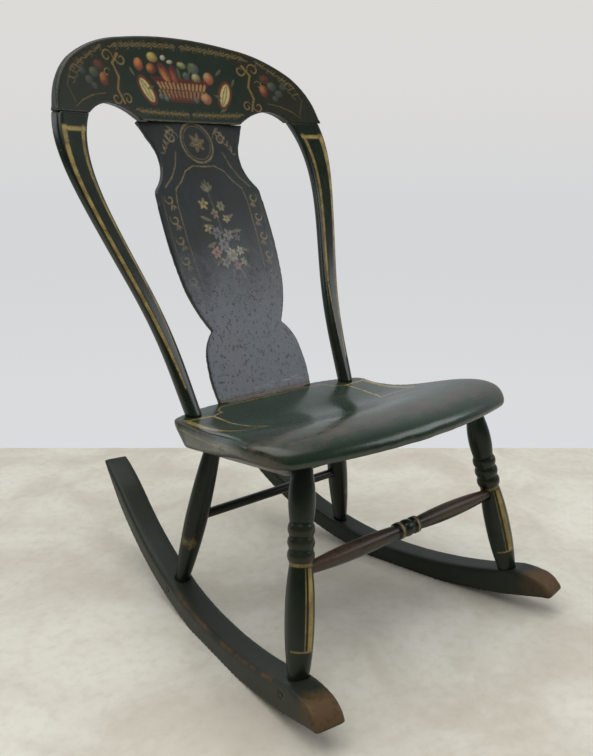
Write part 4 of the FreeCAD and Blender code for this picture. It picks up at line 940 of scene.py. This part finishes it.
def make_leg(node, side, axis):
    """A leg, told how far up its axis each point lies. Also how each point lies off the axis."""
    piece = closed_copy(node, 0.00105)
    reshape(piece, 2)
    points, _ = mark_arrises(piece, 9)
    foot, head = (np.array((side * x, y, z)) for x, y, z in axis)
    way = (head - foot) / np.linalg.norm(head - foot)
    along = (points - foot) @ way
    mark(piece, "up", along * IN_MILLIMETRES)
    return piece, points - foot - along[:, None] * way


def make_front_leg(side, name):
    """Also told which way round the leg each point faces: 0 forward, 90 outward."""
    piece, off = make_leg("front_leg_" + name, side, FRONT_LEG)
    mark(piece, "round", np.degrees(np.arctan2(off[:, 0] * side, -off[:, 1])))
    return piece


def front_leg_striping(f):
    """A wide and a thin gold stripe down the lower shaft's face, between two rings."""
    up, turn = f.told("up"), f.told("round")
    shaft = f.between(up, 33, 128, 0.8)
    wide = f.between(turn, -20, 5, 3)
    thin = f.most(f.between(turn, 15, 20, 2), f.between(turn, -36, -31, 2) * 0.6)
    ring = f.between(up, 31.5, 34.0, 0.5) * f.between(turn, -80, 80, 3) * 0.7
    neck = f.between(up, 129, 133, 0.8) * 0.6
    return f.most(f.most(f.most(wide, thin * 0.7) * shaft, ring), neck)


def front_leg_wear(f):
    """The rings and the bulb are rubbed by heels."""
    rings = f.between(f.told("up"), 130, 182, 3)
    return rings * f.ease(f.told("arris"), 0.05, 0.45) * 0.8


def make_rear_leg(side, name):
    piece, off = make_leg("rear_leg_" + name, side, REAR_LEG)
    mark(piece, "outside", off[:, 0] * side * IN_MILLIMETRES)
    return piece


def rear_leg_wear(f):
    """One bare patch on the outside, above the foot."""
    spot = f.size(f.told("up") - 62) + 1.2 * f.size(f.told("outside") - 8)
    spot = spot + 34 * (f.cloud(60, 4, 0.7, shift=(2, 5, 1)) - 0.5)
    return (1 - f.ease(spot, 4, 15)) * 0.75


def make_front_stretcher():
    piece = closed_copy("front_stretcher", 0.001)
    reshape(piece, 2)
    points, outward = mark_arrises(piece, 9)
    mark(piece, "across", points[:, 0] * IN_MILLIMETRES)
    mark(piece, "upper", outward[:, 2] * 0.8 - outward[:, 1] * 0.6)
    return piece


def stretcher_striping(f):
    """A gold ring at each side of the centre bead."""
    across = f.size(f.told("across"))
    return f.between(across, 13.0, 16.5, 0.6) * 0.75


def stretcher_wear(f):
    """Feet have rubbed the upper front side down to red-brown."""
    trodden = f.ease(f.told("upper"), 0.15, 0.75)
    swell = f.ease(f.size(f.told("across")), 18, 34)
    return trodden * swell * f.ease(f.cloud(30, 5, 0.6, (0.3, 1, 1), shift=(4, 2, 2)), 0.3, 0.58)


def make_rear_stretcher():
    piece = closed_copy("rear_stretcher", 0.001)
    reshape(piece, 2)
    mark_arrises(piece, 8)
    return piece


def make_rocker(side, name):
    """Arrises rounded above and at both ends, sharp round the legs and on the floor."""
    piece = closed_copy("rocker_" + name, 0.0014)
    points = arrays(piece.data)[0]
    middle, half = band_along(points[:, 1], points[:, 2], 120)
    share = (points[:, 2] - middle) / half
    ends = np.maximum(step(-points[:, 1], 0.15, 0.215), step(points[:, 1], 0.33, 0.385))
    seats = np.minimum(*(np.hypot(points[:, 0] - side * foot[0], points[:, 1] - foot[1])
                         for foot, _ in (FRONT_LEG, REAR_LEG)))
    weight = 0.12 + 0.88 * np.maximum(step(share, -0.2, 0.5), 0.8 * ends)
    weight = weight * (0.05 + 0.95 * step(seats, 0.013, 0.019))
    keep_flat = 1 - step(points[:, 2], 0.0008, 0.0045)
    reshape(piece, 34, weight * (1 - 0.9 * keep_flat))
    points, outward = mark_arrises(piece, 12)
    mark(piece, "ahead", -points[:, 1] * IN_MILLIMETRES)
    centre = ROCKER_MIDDLE - ROCKER_SPLAY * points[:, 1]
    mark(piece, "outside", (points[:, 0] * side - centre) * IN_MILLIMETRES)
    mark(piece, "above", outward[:, 2])
    return piece


def rocker_wear(f):
    """Noses kicked down to red-brown wood, and the outer upper arris scuffed."""
    ahead, outside, above = f.told("ahead"), f.told("outside"), f.told("above")
    blotch = f.cloud(42, 5, 0.65, shift=(3, 6, 2))
    nose = f.ease(ahead + 60 * (blotch - 0.5), 180, 206) * f.ease(above, -0.35, 0.35)
    arris = f.between(outside, 10, 21, 3) * f.between(above, 0.35, 0.95, 0.1)
    arris = arris * f.between(ahead, -130, 150, 25) * f.ease(blotch, 0.36, 0.6)
    return f.most(nose, arris * 0.9)


place_camera()
lay_floor()
light_room()

make_crest()
make_splat()
make_seat()

post_paint = varnished("post_paint", BOTTLE_GREEN, BLACK_GREEN, gold=post_striping,
                       look={"rough": 0.28, "coat": 0.35, "edge": 0.9, "shine": 0.36})
front_leg_paint = varnished("front_leg_paint", BOTTLE_GREEN, BLACK_GREEN, gold=front_leg_striping,
                            wear=front_leg_wear, look={"rough": 0.32, "coat": 0.15, "edge": 0.7})
# the rear legs' ground is darker than the front legs' green: painted shade under the seat
rear_leg_paint = varnished("rear_leg_paint", (0.0065, 0.0115, 0.006), BLACK_GREEN,
                           wear=rear_leg_wear, look={"rough": 0.34, "edge": 0.9,
                                                     "rubbed": (0.16, 0.115, 0.045)})
rocker_paint = varnished("rocker_paint", ROCKER_GREEN, (0.013, 0.016, 0.011),
                         wear=rocker_wear, look={"rough": 0.44, "coat": 0.1, "edge": 0.9,
                                                 "rubbed": (0.092, 0.048, 0.017),
                                                 "grain_way": (1, 0.1, 1)})
for side, name in ((1, "left"), (-1, "right")):
    finish_piece(make_post(side, name), post_paint)
    finish_piece(make_front_leg(side, name), front_leg_paint)
    finish_piece(make_rear_leg(side, name), rear_leg_paint)
    finish_piece(make_rocker(side, name), rocker_paint)

finish_piece(make_front_stretcher(), varnished(
    "front_stretcher_paint", (0.011, 0.012, 0.008), BLACK_GREEN, gold=stretcher_striping,
    wear=stretcher_wear, look={"rough": 0.32, "edge": 0.9, "rubbed": RED_BROWN, "shine": 0.3,
                               "grain_way": (0.08, 1, 1)}))
# its ground is darker than the front stretcher's: painted shade under the seat
finish_piece(make_rear_stretcher(), varnished(
    "rear_stretcher_paint", (0.0065, 0.0095, 0.006), BLACK_GREEN,
    look={"rough": 0.34, "edge": 0.9, "grain_way": (0.08, 1, 1)}))

bare_wood = bare("bare_wood", (0.42, 0.28, 0.15), (0.26, 0.16, 0.08), 90)
pin_wood = bare("pin_wood", (0.06, 0.05, 0.034), (0.022, 0.02, 0.014), 160)
for node_name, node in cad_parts.items():
    for start, wood in (("crest_dowel", bare_wood), ("rocker_pin", pin_wood)):
        if node_name.startswith(start):
            node.data.materials.clear()
            node.data.materials.append(wood)

bpy.context.scene.view_settings.view_transform = "Standard"
